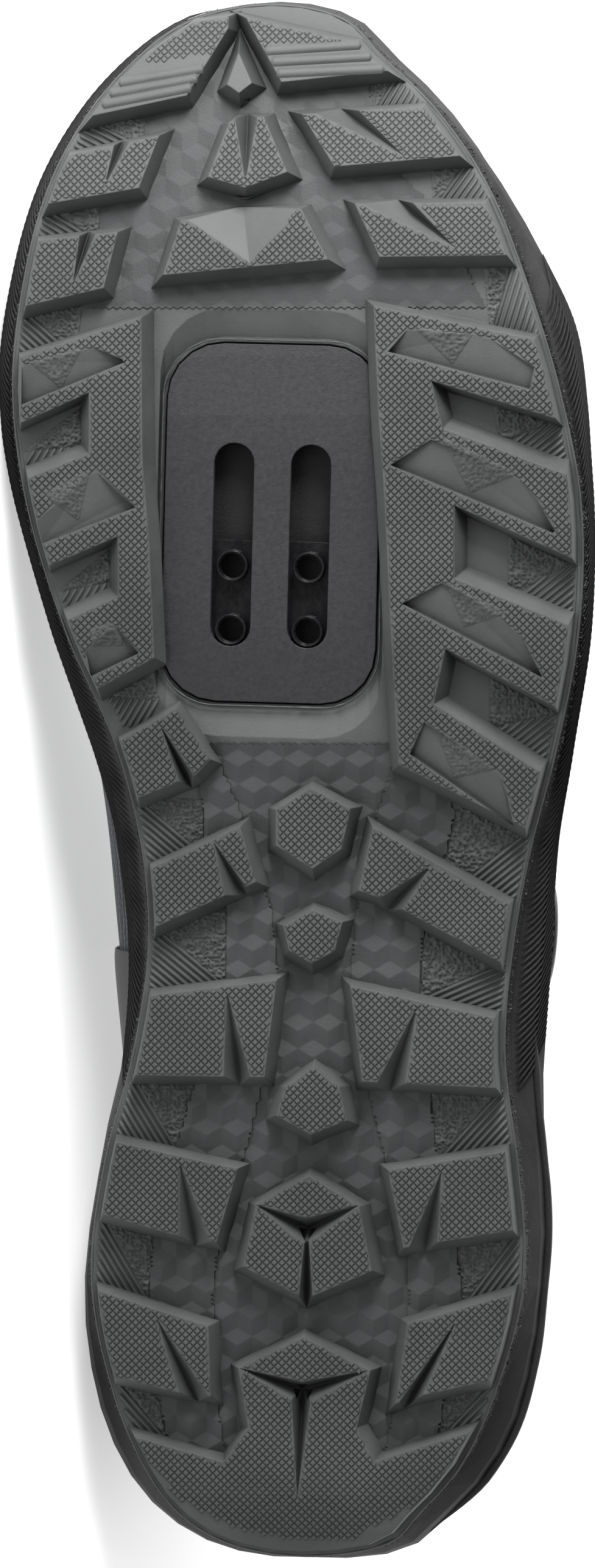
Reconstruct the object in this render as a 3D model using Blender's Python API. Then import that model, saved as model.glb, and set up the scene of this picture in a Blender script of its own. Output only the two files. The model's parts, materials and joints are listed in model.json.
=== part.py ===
"""Left off-road cycling shoe with a two-bolt cleat plate, lying on its inner side.

The pieces are modelled in the shoe's own frame, in metres: +X towards the inner (medial)
side, +Y towards the toe and +Z from the ground up, with the back of the heel at Y = 0.
The sole is built flat and then bent to the rise of its arch, heel and toe. At the end
the whole shoe is laid on the side on which it rests.
"""

import math

import bmesh
import bpy
from mathutils import Matrix, Vector
from mathutils.bvhtree import BVHTree
from mathutils.geometry import intersect_ray_tri

# Driving sizes, in metres
SHOE_LENGTH = 0.284
BALL_HALF_WIDTH = 0.054
INSTEP_HEIGHT = 0.084
TOE_SPRING = 0.023
ARCH_RISE = 0.003
HEEL_BEVEL = 0.004
LUG_HEIGHT = 0.0045
WEB_THICKNESS = 0.0022
FOREFOOT_STACK = 0.0085
HEEL_STACK = 0.0175
WALL_OVERHANG = 0.0028
RIM_HEIGHT = 0.004
RIM_WIDTH = 0.002
RIM_OUTSET = 0.0018
UPPER_WALL = 0.002
OVERLAY_THICKNESS = 0.001
TONGUE_THICKNESS = 0.004
TONGUE_HALF_WIDTH = 0.031
TONGUE_TIP = 0.022
INSOLE_THICKNESS = 0.0035
HEEL_LEAN = 0.010
TOE_SLOPE = 0.024

# Cleat plate, nut plate and their two slots
PLATE_LENGTH = 0.065
PLATE_WIDTH = 0.039
PLATE_CORNER = 0.010
PLATE_THICKNESS = 0.0026
PLATE_RECESS = 0.0012
SLOT_SPACING = 0.014
SLOT_LENGTH = 0.037
SLOT_WIDTH = 0.0073
NUT_WIDTH = 0.024
NUT_LENGTH = 0.021
NUT_THICKNESS = 0.0015
BOLT_SPACING = 0.0116
COLLAR_DIAMETER = 0.0058
BORE_DIAMETER = 0.0048

# Lace dial, guides and cable
DIAL_BASE_DIAMETER = 0.030
DIAL_BASE_HEIGHT = 0.0030
DIAL_KNOB_DIAMETER = 0.026
DIAL_KNOB_HEIGHT = 0.0070
GUIDE_LENGTH = 0.010
GUIDE_WIDTH = 0.005
GUIDE_HEIGHT = 0.003
CABLE_DIAMETER = 0.0014

# Clearances and drafts
GAP = 0.0003
FRONT_DRAFT = 0.0012
REAR_DRAFT = 0.0026
INNER_DRAFT = 0.0022
OUTER_DRAFT = 0.0009
OUTER_STEP = 0.0006
RAMP_LENGTH = 0.006
BLOCK_ROOT = 0.0008

# Counts of sections and facets
STATION_COUNT = 40
HEEL_STEPS = 7
ROUND_SIDES = 24
BORE_SIDES = 12


class Sections:
    """Table of sections along the shoe, read as smooth curves that run round both ends."""

    def __init__(self, columns, rows):
        self.knots = [self.pace(row[0]) for row in rows]
        self.values = {name: [row[i] for row in rows] for i, name in enumerate(columns)}

    @staticmethod
    def pace(along):
        return math.acos(1.0 - 2.0 * min(max(along, 0.0), 1.0))

    def at(self, name, along):
        knots, values = self.knots, self.values[name]
        x = self.pace(along)
        k = 0
        while k < len(knots) - 2 and x > knots[k + 1]:
            k += 1
        step = knots[k + 1] - knots[k]
        t = (x - knots[k]) / step
        start, end = values[k], values[k + 1]
        rise_in, rise_out = self.slope(values, k) * step, self.slope(values, k + 1) * step
        return (start * (2 * t ** 3 - 3 * t ** 2 + 1) + rise_in * (t ** 3 - 2 * t ** 2 + t)
                + end * (3 * t ** 2 - 2 * t ** 3) + rise_out * (t ** 3 - t ** 2))

    def slope(self, values, k):
        knots = self.knots
        low, high = max(k - 1, 0), min(k + 1, len(knots) - 1)
        if low == k or high == k:
            return (values[high] - values[low]) / (knots[high] - knots[low])
        before, after = knots[k] - knots[low], knots[high] - knots[k]
        first = (values[k] - values[low]) / before
        second = (values[high] - values[k]) / after
        return (first * after + second * before) / (before + after)


# Outline of the outsole: share of the length from the heel, and half widths on the inner
# and outer side of the centre line as shares of the ball's half width.
SOLE = Sections(
    ("along", "medial", "lateral"),
    (
        (0.000, 0.000, 0.000),
        (0.010, 0.270, 0.300),
        (0.030, 0.420, 0.400),
        (0.060, 0.530, 0.535),
        (0.110, 0.636, 0.659),
        (0.190, 0.704, 0.756),
        (0.260, 0.652, 0.729),
        (0.330, 0.556, 0.687),
        (0.400, 0.511, 0.716),
        (0.460, 0.539, 0.773),
        (0.520, 0.617, 0.855),
        (0.600, 0.795, 0.934),
        (0.680, 0.921, 0.939),
        (0.750, 0.967, 0.868),
        (0.820, 0.937, 0.752),
        (0.880, 0.865, 0.621),
        (0.930, 0.735, 0.440),
        (0.965, 0.583, 0.252),
        (0.990, 0.400, 0.115),
        (1.000, 0.130, -0.130),
    ),
)

# Outer form of the upper: half widths as shares of the ball's half width at four heights
# above the rim, and the height of the section as a share of the instep height.
UPPER = Sections(
    ("along", "bulge_medial", "bulge_lateral", "waist_medial", "waist_lateral",
     "brow_medial", "brow_lateral", "edge_medial", "edge_lateral", "height"),
    (
        (0.000, 0.000, 0.000, 0.000, 0.000, 0.000, 0.000, 0.000, 0.000, 0.860),
        (0.050, 0.480, 0.490, 0.450, 0.460, 0.435, 0.445, 0.455, 0.465, 0.830),
        (0.110, 0.590, 0.610, 0.540, 0.560, 0.520, 0.540, 0.550, 0.560, 0.760),
        (0.190, 0.635, 0.670, 0.580, 0.605, 0.560, 0.580, 0.590, 0.605, 0.665),
        (0.270, 0.640, 0.680, 0.605, 0.625, 0.570, 0.580, 0.590, 0.590, 0.665),
        (0.350, 0.685, 0.690, 0.655, 0.615, 0.580, 0.545, 0.525, 0.500, 0.800),
        (0.420, 0.730, 0.730, 0.695, 0.610, 0.555, 0.505, 0.370, 0.350, 1.000),
        (0.500, 0.765, 0.800, 0.715, 0.680, 0.560, 0.550, 0.330, 0.320, 0.870),
        (0.600, 0.870, 0.930, 0.800, 0.830, 0.575, 0.605, 0.290, 0.280, 0.690),
        (0.690, 0.950, 0.930, 0.865, 0.825, 0.600, 0.570, 0.240, 0.190, 0.570),
        (0.725, 0.955, 0.900, 0.865, 0.795, 0.600, 0.545, 0.160, 0.070, 0.540),
        (0.735, 0.955, 0.890, 0.865, 0.785, 0.595, 0.535, 0.060, -0.060, 0.530),
        (0.800, 0.930, 0.785, 0.825, 0.690, 0.560, 0.440, 0.090, -0.090, 0.480),
        (0.880, 0.850, 0.610, 0.735, 0.520, 0.500, 0.320, 0.110, -0.110, 0.415),
        (0.940, 0.670, 0.385, 0.570, 0.305, 0.400, 0.170, 0.125, -0.125, 0.335),
        (0.975, 0.515, 0.190, 0.430, 0.115, 0.310, 0.010, 0.130, -0.130, 0.255),
        (1.000, 0.130, -0.130, 0.130, -0.130, 0.130, -0.130, 0.130, -0.130, 0.175),
    ),
)
THROAT_FRONT = 0.735
THROAT_BACK = 0.430

# Flare of the midsole's wall past the sole's edge, in overhangs
FLARE = Sections(
    ("along", "medial", "lateral"),
    (
        (0.000, 1.05, 1.05),
        (0.025, 1.65, 1.80),
        (0.065, 2.00, 2.20),
        (0.090, 1.95, 2.30),
        (0.130, 1.65, 1.90),
        (0.175, 1.10, 1.30),
        (0.220, 0.80, 1.50),
        (0.290, 0.92, 1.95),
        (0.320, 1.07, 2.40),
        (0.395, 1.80, 2.45),
        (0.430, 2.00, 2.05),
        (0.480, 2.00, 1.43),
        (0.535, 1.90, 0.93),
        (0.590, 1.30, 0.75),
        (0.650, 1.03, 0.68),
        (0.700, 1.15, 0.90),
        (0.740, 1.25, 1.50),
        (0.785, 1.25, 2.07),
        (0.830, 1.15, 1.57),
        (0.870, 1.05, 0.96),
        (0.925, 0.90, 0.54),
        (1.000, 0.36, 0.36),
    ),
)

# How far each height of a section leans back at the toe and forward at the heel, and
# its share of the height above the rim.
LEVELS = (
    ("bulge", 0.24, 0.20, 0.12),
    ("waist", 0.52, 0.40, 0.32),
    ("brow", 0.80, 0.90, 0.62),
    ("edge", 1.00, 1.00, 1.00),
)
LEVEL_STEPS = (0.0, 1.0, 1.5, 2.0, 2.5, 3.0, 3.5, 4.0, 4.5, 5.0)

# Lugs that end on the outline: side, where the outline leaves and meets them, and their
# inner corners from front to back. Shares across are positive towards the outer side.
EDGE_LUGS = (
    ("medial", 0.9015, 0.8700, ((-0.487, 0.914), (-0.550, 0.880))),
    ("lateral", 0.9320, 0.9000, ((-0.007, 0.9275), (0.109, 0.8934))),
    ("medial", 0.8467, 0.8044, ((-0.6156, 0.8517), (-0.6587, 0.8158))),
    ("lateral", 0.8700, 0.8362, ((0.180, 0.8695), (0.268, 0.8353))),
    ("medial", 0.5270, 0.4900, ((-0.410, 0.548), (-0.2975, 0.515), (-0.347, 0.505))),
    ("medial", 0.4450, 0.4075, ((-0.198, 0.472), (-0.145, 0.4365), (-0.251, 0.4277))),
    ("lateral", 0.4235, 0.3865, ((0.248, 0.4724), (0.2015, 0.4315), (0.271, 0.427), (0.3506, 0.4195))),
    ("medial", 0.3640, 0.3128, ((-0.072, 0.3745), (-0.112, 0.3122))),
    ("lateral", 0.3514, 0.3065, ((0.175, 0.371), (0.218, 0.310))),
    ("medial", 0.2700, 0.2230, ((-0.2015, 0.2535), (-0.274, 0.206), (-0.400, 0.2095))),
    ("lateral", 0.2661, 0.2156, ((0.304, 0.2535), (0.357, 0.2035), (0.473, 0.2074))),
    ("medial", 0.1740, 0.1185, ((-0.301, 0.152), (-0.294, 0.1065), (-0.400, 0.1085))),
    ("lateral", 0.1750, 0.1190, ((0.370, 0.155), (0.3307, 0.1034), (0.4235, 0.109))),
    ("medial", 0.9880, 0.9270, ((-0.270, 0.992), (-0.270, 0.984), (-0.400, 0.940))),
    ("lateral", 0.9740, 0.9555, ((-0.210, 0.991), (-0.080, 0.9485))),
)

# Lugs that stand free of the outline
FREE_LUGS = (
    ((-0.230, 0.968), (-0.265, 0.947), (-0.222, 0.9415), (-0.180, 0.948)),
    ((-0.2525, 0.922), (-0.317, 0.887), (-0.190, 0.880), (-0.050, 0.890), (-0.135, 0.9256), (-0.225, 0.9256)),
    ((-0.4036, 0.8587), (-0.460, 0.824), (0.095, 0.8337), (0.000, 0.8665), (-0.225, 0.865)),
    ((0.040, 0.497), (-0.078, 0.483), (-0.078, 0.460), (0.046, 0.4453), (0.142, 0.458), (0.175, 0.484)),
    ((0.0457, 0.4195), (-0.052, 0.4088), (-0.0325, 0.393), (0.0457, 0.3848), (0.122, 0.393), (0.148, 0.4113)),
    ((0.0523, 0.3191), (-0.0424, 0.3059), (-0.0722, 0.2876), (0.0457, 0.2756), (0.165, 0.285), (0.1418, 0.3065)),
    ((0.039, 0.2497), (-0.140, 0.230), (-0.185, 0.1904), (0.026, 0.170), (0.251, 0.1885), (0.208, 0.230)),
)

# Comb-shaped rails beside the cleat window: outline runs and inner corners
RAILS = (
    ("medial", 0.7720, 0.5600, ((-0.5295, 0.797), (-0.520, 0.702), (-0.4977, 0.649), (-0.483, 0.580))),
    ("lateral", 0.7830, 0.4720,
     ((0.251, 0.804), (0.271, 0.734), (0.291, 0.683), (0.311, 0.604), (0.3307, 0.528), (0.337, 0.512))),
)

# Heel block: its front corners; the outline closes it
HEEL_BLOCK_FRONT = (
    (-0.250, 0.0645), (-0.168, 0.087), (-0.201, 0.125), (0.019, 0.1456),
    (0.247, 0.1245), (0.200, 0.0876), (0.261, 0.066),
)
HEEL_BLOCK_MEDIAL = 0.0800
HEEL_BLOCK_LATERAL = 0.0862

# V-shaped notches: apex on the tread, the two sides of the mouth and the foot of the valley
NOTCHES = (
    ((-0.668, 0.880), (-0.635, 0.912), (-0.575, 0.914), (-0.600, 0.920)),
    ((0.350, 0.899), (0.030, 0.9285), (0.185, 0.930), (0.095, 0.935)),
    ((-0.765, 0.8164), (-0.745, 0.850), (-0.6885, 0.851), (-0.715, 0.856)),
    ((0.530, 0.8397), (0.188, 0.870), (0.370, 0.871), (0.2975, 0.876)),
    ((-0.190, 0.882), (-0.235, 0.926), (-0.155, 0.927), (-0.195, 0.932)),
    ((-0.168, 0.831), (-0.390, 0.860), (-0.010, 0.866), (-0.205, 0.871)),
    ((-0.4665, 0.5375), (-0.410, 0.504), (-0.347, 0.503), (-0.370, 0.497)),
    ((-0.292, 0.463), (-0.251, 0.4277), (-0.175, 0.433), (-0.168, 0.4226)),
    ((0.453, 0.449), (0.271, 0.427), (0.3506, 0.4195), (0.281, 0.415)),
    ((-0.241, 0.3684), (-0.251, 0.3128), (-0.158, 0.3122), (-0.198, 0.3033)),
    ((0.4036, 0.3596), (0.268, 0.310), (0.3638, 0.309), (0.3075, 0.3015)),
    ((-0.400, 0.2592), (-0.400, 0.210), (-0.294, 0.2068), (-0.347, 0.1998)),
    ((0.4864, 0.2548), (0.377, 0.205), (0.473, 0.2074), (0.4235, 0.1979)),
    ((-0.483, 0.1588), (-0.400, 0.1085), (-0.300, 0.1065), (-0.327, 0.0958)),
    ((0.543, 0.1595), (0.340, 0.1034), (0.4235, 0.109), (0.3506, 0.0964)),
    ((0.2147, 0.2315), (0.025, 0.222), (0.055, 0.209), (0.0325, 0.2138)),
    ((-0.148, 0.2310), (0.035, 0.222), (0.000, 0.209), (0.0325, 0.2138)),
    ((0.0325, 0.2260), (0.004, 0.1720), (0.052, 0.1720), (0.0258, 0.1640)),
    ((0.247, 0.1250), (0.020, 0.117), (0.040, 0.104), (0.016, 0.1103)),
    ((-0.203, 0.1255), (0.015, 0.117), (-0.010, 0.104), (0.016, 0.1103)),
    ((-0.002, 0.0396), (-0.020, 0.1035), (0.044, 0.1035), (0.012, 0.1060)),
)

# Deep pockets that open the rails to the outside
POCKETS = (
    ((-0.700, 0.7496), (-0.700, 0.710), (-1.050, 0.683), (-1.050, 0.7200)),
    ((-0.602, 0.6580), (-0.602, 0.6190), (-0.950, 0.5880), (-0.950, 0.6300)),
    ((0.443, 0.757), (0.484, 0.726), (1.050, 0.686), (1.050, 0.722)),
    ((0.523, 0.678), (0.523, 0.631), (1.050, 0.590), (1.050, 0.633)),
    ((0.493, 0.587), (0.453, 0.551), (1.000, 0.484), (1.000, 0.536)),
)

# Shallow sloping panels in the fingers of the rails, with their depth at each corner
PANEL_DEPTH = 0.0014
PANELS = (
    ((-0.930, 0.768, -0.1), (-0.6985, 0.7786, -0.1), (-0.575, 0.769, 1.0), (-0.930, 0.7414, 1.0)),
    ((-0.685, 0.700, -0.1), (-0.5825, 0.680, 1.0), (-0.545, 0.676, 1.0), (-0.870, 0.652, 1.0), (-0.885, 0.668, -0.1)),
    ((-0.619, 0.602, -0.1), (-0.535, 0.583, 1.0), (-0.6985, 0.568, 1.0), (-0.715, 0.587, -0.1)),
    ((0.370, 0.790, -0.1), (0.301, 0.775, 1.0), (0.775, 0.751, 1.0), (0.790, 0.765, 0.4), (0.609, 0.787, -0.1)),
    ((0.447, 0.719, 0.3), (0.311, 0.703, 1.0), (0.8675, 0.659, 1.0), (0.790, 0.685, -0.1), (0.730, 0.697, -0.1)),
    ((0.483, 0.628, 0.3), (0.351, 0.615, 1.0), (0.821, 0.568, 1.0), (0.7415, 0.597, -0.1), (0.660, 0.610, -0.1)),
    ((0.4235, 0.539, 0.3), (0.374, 0.519, 1.0), (0.722, 0.473, 1.0), (0.695, 0.4965, -0.1), (0.669, 0.509, -0.1)),
)

# Centre of the cleat plate and its small turn about the vertical
PLATE_CENTRE = (-0.098, 0.6655)
PLATE_TURN = math.radians(1.5)
SLOT_CENTRE_ALONG = 0.6515
BOLT_CENTRE_ALONG = 0.6175

# Where the sole is cut across before it is bent
BEND_CUTS = (0.02, 0.045, 0.34, 0.38, 0.42, 0.46, 0.50, 0.54, 0.58, 0.62,
             0.70, 0.735, 0.772, 0.81, 0.85, 0.89, 0.93, 0.96, 0.985)
HEEL_FLAT_START = 0.06
ARCH_START = 0.30
ARCH_END = 0.62
SPRING_START = 0.70
STACK_THIN = 0.66
STACK_FULL = 0.22


def place(across, along):
    """Plan point from its shares: across of the ball's half width, along of the length."""
    return Vector((-across * BALL_HALF_WIDTH, along * SHOE_LENGTH))


def rise(y):
    """Height of the tread above the ground at a distance from the heel."""
    along = y / SHOE_LENGTH
    if along < HEEL_FLAT_START:
        return HEEL_BEVEL * min((1.0 - along / HEEL_FLAT_START) ** 2, 1.6)
    if ARCH_START < along < ARCH_END:
        return ARCH_RISE * math.sin(math.pi * (along - ARCH_START) / (ARCH_END - ARCH_START)) ** 2
    if along > SPRING_START:
        return TOE_SPRING * ((along - SPRING_START) / (1.0 - SPRING_START)) ** 2
    return 0.0


def stack(y):
    """Thickness of the midsole at a distance from the heel."""
    share = min(max((STACK_THIN - y / SHOE_LENGTH) / (STACK_THIN - STACK_FULL), 0.0), 1.0)
    return FOREFOOT_STACK + (HEEL_STACK - FOREFOOT_STACK) * share * share * (3.0 - 2.0 * share)


MIDSOLE_BASE = LUG_HEIGHT + WEB_THICKNESS + GAP


def seat(y):
    """Height above the ground of the seat on which upper and insole stand."""
    return rise(y) + MIDSOLE_BASE + stack(y)


def stations():
    """Shares along the shoe, close together round the heel and the toe."""
    even = [0.5 - 0.5 * math.cos(math.pi * i / STATION_COUNT) for i in range(STATION_COUNT + 1)]
    nearest = min(range(len(even)), key=lambda i: abs(even[i] - THROAT_FRONT))
    even[nearest] = THROAT_FRONT
    return even


STATIONS = stations()


def outline(outset, flare=0.0):
    """Closed plan loop of the sole, from the heel up the inner side and back down the outer."""
    spots = [("medial", u) for u in STATIONS] + [("lateral", u) for u in STATIONS[-2:0:-1]]
    loop = [place((-1 if side == "medial" else 1) * SOLE.at(side, u), u) for side, u in spots]
    moved = []
    for i, here in enumerate(loop):
        run = loop[(i + 1) % len(loop)] - loop[i - 1]
        reach = outset + flare * WALL_OVERHANG * FLARE.at(*spots[i])
        moved.append(here + Vector((run.y, -run.x)).normalized() * reach)
    return moved


def outline_run(side, start, end, inset):
    """Points on the outline of one side between two shares of the length."""
    sign = -1.0 if side == "medial" else 1.0
    count = max(2, math.ceil(abs(end - start) / 0.022))
    points = []
    for i in range(count + 1):
        along = start + (end - start) * i / count
        points.append(place(sign * (SOLE.at(side, along) - inset / BALL_HALF_WIDTH), along))
    return points


def heel_run(side, end):
    """Points on the outline from the back of the heel, closer together where it is round."""
    sign = -1.0 if side == "medial" else 1.0
    inset = OUTER_DRAFT + OUTER_STEP
    points = []
    for i in range(HEEL_STEPS + 1):
        along = end * (i / HEEL_STEPS) ** 2
        across = sign * max(SOLE.at(side, along) - inset / BALL_HALF_WIDTH, 0.0)
        points.append(place(across, along + inset / SHOE_LENGTH * (1.0 - i / HEEL_STEPS)))
    return points


def signed_area(plan):
    return 0.5 * sum(plan[i - 1].cross(plan[i]) for i in range(len(plan)))


def grown(plan, shifts):
    """Plan with each of its sides moved outwards by its own distance."""
    result = []
    for i, here in enumerate(plan):
        before = (here - plan[i - 1]).normalized()
        after = (plan[(i + 1) % len(plan)] - here).normalized()
        n1, n2 = Vector((before.y, -before.x)), Vector((after.y, -after.x))
        s1, s2 = shifts[i - 1], shifts[i]
        turn = n1.cross(n2)
        if abs(turn) < 0.3:
            result.append(here + (n1 + n2).normalized() * (s1 + s2) / 2)
        else:
            move = Vector((s1 * n2.y - s2 * n1.y, s2 * n1.x - s1 * n2.x)) / turn
            result.append(here + move)
    return result


def drafts(plan, outer_sides):
    """How far the foot of each side of a lug stands out from its tread edge."""
    shifts = []
    for i, here in enumerate(plan):
        run = (plan[(i + 1) % len(plan)] - here).normalized()
        if i in outer_sides:
            shifts.append(OUTER_DRAFT)
        elif -run.x > 0.5:
            shifts.append(FRONT_DRAFT)
        elif -run.x < -0.5:
            shifts.append(REAR_DRAFT)
        else:
            shifts.append(INNER_DRAFT)
    return shifts


def add_prism(bm, low, high, z_low, z_high):
    """Closed body between two plans with the same number of points."""
    if signed_area(low) < 0:
        low, high = low[::-1], high[::-1]
    bottom = [bm.verts.new((p.x, p.y, z_low)) for p in low]
    top = [bm.verts.new((p.x, p.y, z_high)) for p in high]
    bm.faces.new(bottom[::-1])
    bm.faces.new(top)
    for i in range(len(low)):
        j = (i + 1) % len(low)
        bm.faces.new((bottom[i], bottom[j], top[j], top[i]))


def add_hull(bm, points):
    """Closed convex body round a few points."""
    piece = bmesh.new()
    verts = [piece.verts.new(p) for p in points]
    hull = bmesh.ops.convex_hull(piece, input=verts)
    spare = [v for v in hull["geom_interior"] + hull["geom_unused"] if isinstance(v, bmesh.types.BMVert)]
    bmesh.ops.delete(piece, geom=list(set(spare)), context="VERTS")
    bmesh.ops.recalc_face_normals(piece, faces=piece.faces)
    mesh = bpy.data.meshes.new("hull")
    piece.to_mesh(mesh)
    piece.free()
    bm.from_mesh(mesh)
    bpy.data.meshes.remove(mesh)


def rounded_plan(centre, length, width, corner, turn, grow=0.0):
    """Rounded rectangle about a plan point, its length along the shoe."""
    half_x, half_y = width / 2 + grow, length / 2 + grow
    radius = corner + grow
    steps = 5
    plan = []
    for quarter, (sx, sy) in enumerate(((1, 1), (-1, 1), (-1, -1), (1, -1))):
        hub = Vector((sx * (half_x - radius), sy * (half_y - radius)))
        for i in range(steps + 1):
            angle = math.pi / 2 * (quarter + i / steps)
            plan.append(hub + radius * Vector((math.cos(angle), math.sin(angle))))
    turned = Matrix.Rotation(turn, 2)
    return [centre + turned @ p for p in plan]


def circle_plan(centre, radius, sides):
    angles = [2 * math.pi * i / sides for i in range(sides)]
    return [centre + radius * Vector((math.cos(a), math.sin(a))) for a in angles]


def make_object(name, bm, material):
    bmesh.ops.recalc_face_normals(bm, faces=bm.faces)
    mesh = bpy.data.meshes.new(name)
    bm.to_mesh(mesh)
    bm.free()
    obj = bpy.data.objects.new(name, mesh)
    bpy.context.collection.objects.link(obj)
    if material:
        mesh.materials.append(material)
    return obj


def boolean(target, bm, operation, solver="EXACT"):
    """Applied Boolean of an object with a closed body."""
    cutter = make_object("cutter", bm, None)
    modifier = target.modifiers.new("cut", "BOOLEAN")
    modifier.operation = operation
    modifier.solver = solver
    modifier.object = cutter
    graph = bpy.context.evaluated_depsgraph_get()
    mesh = bpy.data.meshes.new_from_object(target.evaluated_get(graph))
    target.modifiers.clear()
    old = target.data
    target.data = mesh
    mesh.name = target.name
    bpy.data.meshes.remove(old)
    bpy.data.objects.remove(cutter)


def bend(obj):
    """Cuts a flat-built piece across and lifts it to the rise of the sole."""
    bm = bmesh.new()
    bm.from_mesh(obj.data)
    bmesh.ops.remove_doubles(bm, verts=bm.verts, dist=0.000001)
    for along in BEND_CUTS:
        geometry = bm.verts[:] + bm.edges[:] + bm.faces[:]
        bmesh.ops.bisect_plane(bm, geom=geometry, dist=0.000001, plane_co=(0, along * SHOE_LENGTH, 0),
                               plane_no=(0, 1, 0))
    for vert in bm.verts:
        vert.co.z += rise(vert.co.y)
    bmesh.ops.triangulate(bm, faces=bm.faces[:])
    bm.to_mesh(obj.data)
    bm.free()


def material(name, colour, roughness, metallic=0.0):
    result = bpy.data.materials.new(name)
    result.use_nodes = True
    shader = result.node_tree.nodes["Principled BSDF"]
    shader.inputs["Base Color"].default_value = (*colour, 1.0)
    shader.inputs["Roughness"].default_value = roughness
    shader.inputs["Metallic"].default_value = metallic
    return result


def lug_plans():
    """Plans of all lugs, each with the numbers of its sides that lie on the outline."""
    plans = []
    for side, front, rear, corners in EDGE_LUGS + RAILS:
        run = outline_run(side, rear, front, OUTER_DRAFT + OUTER_STEP)
        plan = run + [place(*corner) for corner in corners]
        plans.append((plan, range(len(run) - 1)))
    for corners in FREE_LUGS:
        plans.append(([place(*corner) for corner in corners], range(0)))
    heel = heel_run("lateral", HEEL_BLOCK_LATERAL)[:0:-1] + heel_run("medial", HEEL_BLOCK_MEDIAL)
    plans.append((heel + [place(*corner) for corner in HEEL_BLOCK_FRONT], range(len(heel) - 1)))
    return plans


def oriented(plan, outer_sides):
    """Same plan, counter-clockwise, with its outer sides renumbered."""
    if signed_area(plan) > 0:
        return plan, set(outer_sides)
    last = len(plan) - 1
    return plan[::-1], {(last - 1 - side) % (last + 1) for side in outer_sides}


def build_outsole(rubber):
    """Web with its lugs, rails and heel block, notched, pocketed and cut for the cleat plate."""
    web = bmesh.new()
    edge = outline(0.0)
    add_prism(web, edge, edge, LUG_HEIGHT, LUG_HEIGHT + WEB_THICKNESS)
    outsole = make_object("outsole", web, rubber)

    for plan, outer_sides in lug_plans():
        plan, outer_sides = oriented(plan, outer_sides)
        foot = grown(plan, drafts(plan, outer_sides))
        block = bmesh.new()
        add_prism(block, plan, foot, 0.0, LUG_HEIGHT + BLOCK_ROOT)
        boolean(outsole, block, "UNION")
    for cut in notch_cuts() + pocket_cuts() + panel_cuts() + window_cuts():
        boolean(outsole, cut, "DIFFERENCE", "MANIFOLD")
    bend(outsole)
    return outsole


def notch_cuts():
    """V-shaped cutters that deepen from their apex to the foot of the lug."""
    cuts = []
    for corners in NOTCHES:
        apex, left, right, valley = [place(*corner) for corner in corners]
        lift = Vector((0, 0, -LUG_HEIGHT / 4))
        plan = (apex, apex + 1.15 * (left - apex), apex + 1.15 * (right - apex))
        tread = [p.to_3d() - Vector((0, 0, GAP / 3)) for p in plan]
        foot = (apex + 1.15 * (valley - apex)).to_3d() + Vector((0, 0, LUG_HEIGHT - GAP / 2))
        cut = bmesh.new()
        add_hull(cut, tread + [p + lift for p in tread] + [foot])
        cuts.append(cut)
    return cuts


def pocket_cuts():
    """Cutters of the pockets between the fingers of the rails."""
    cuts = []
    for corners in POCKETS:
        plan, _ = oriented([place(*corner) for corner in corners], range(0))
        floor = grown(plan, [-shift for shift in drafts(plan, ())])
        cut = bmesh.new()
        add_prism(cut, plan, floor, -GAP, LUG_HEIGHT - GAP / 2)
        cuts.append(cut)
    return cuts


def panel_cuts():
    """Cutters of the shallow sloping panels in the fingers."""
    cuts = []
    for corners in PANELS:
        top = [place(v, u).to_3d() - Vector((0, 0, PANEL_DEPTH)) for v, u, _ in corners]
        floor = [place(v, u).to_3d() + Vector((0, 0, depth * PANEL_DEPTH)) for v, u, depth in corners]
        cut = bmesh.new()
        add_hull(cut, top + floor)
        cuts.append(cut)
    return cuts


def window_cuts():
    """Cutters of the plate's window and of the ramps before and behind it."""
    centre = place(*PLATE_CENTRE)
    mouth = rounded_plan(centre, PLATE_LENGTH, PLATE_WIDTH, PLATE_CORNER, PLATE_TURN, GAP * 4)
    ends = [p + Vector((0, math.copysign(RAMP_LENGTH, p.y - centre.y))) for p in mouth]
    top = [p.to_3d() + Vector((0, 0, LUG_HEIGHT - GAP)) for p in ends]
    foot = [p.to_3d() + Vector((0, 0, LUG_HEIGHT + WEB_THICKNESS - GAP)) for p in mouth]
    ramps, window = bmesh.new(), bmesh.new()
    add_hull(ramps, top + foot)
    hole = rounded_plan(centre, PLATE_LENGTH, PLATE_WIDTH, PLATE_CORNER, PLATE_TURN, GAP)
    add_prism(window, hole, hole, LUG_HEIGHT - GAP, MIDSOLE_BASE)
    return [ramps, window]


def ring_body(name, rings, colour):
    """Closed body from rings that share the outline's points: first and last are capped."""
    bm = bmesh.new()
    loops = [[bm.verts.new(p) for p in ring] for ring in rings]
    count = len(rings[0])
    half = count // 2
    for low, high in zip(loops, loops[1:]):
        for i in range(count):
            j = (i + 1) % count
            bm.faces.new((low[i], low[j], high[j], high[i]))
    for loop in (loops[0], loops[-1]):
        bm.faces.new((loop[0], loop[1], loop[-1]))
        bm.faces.new((loop[half - 1], loop[half], loop[half + 1]))
        for i in range(1, half - 1):
            bm.faces.new((loop[i], loop[i + 1], loop[count - i - 1], loop[count - i]))
    return make_object(name, bm, colour)


# Side wall of the midsole: share of the midsole's thickness, and share of the flare
WALL_PROFILE = ((0.00, 0.00), (0.16, 0.14), (0.36, 0.72), (0.62, 1.00), (1.00, 0.84))


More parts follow.
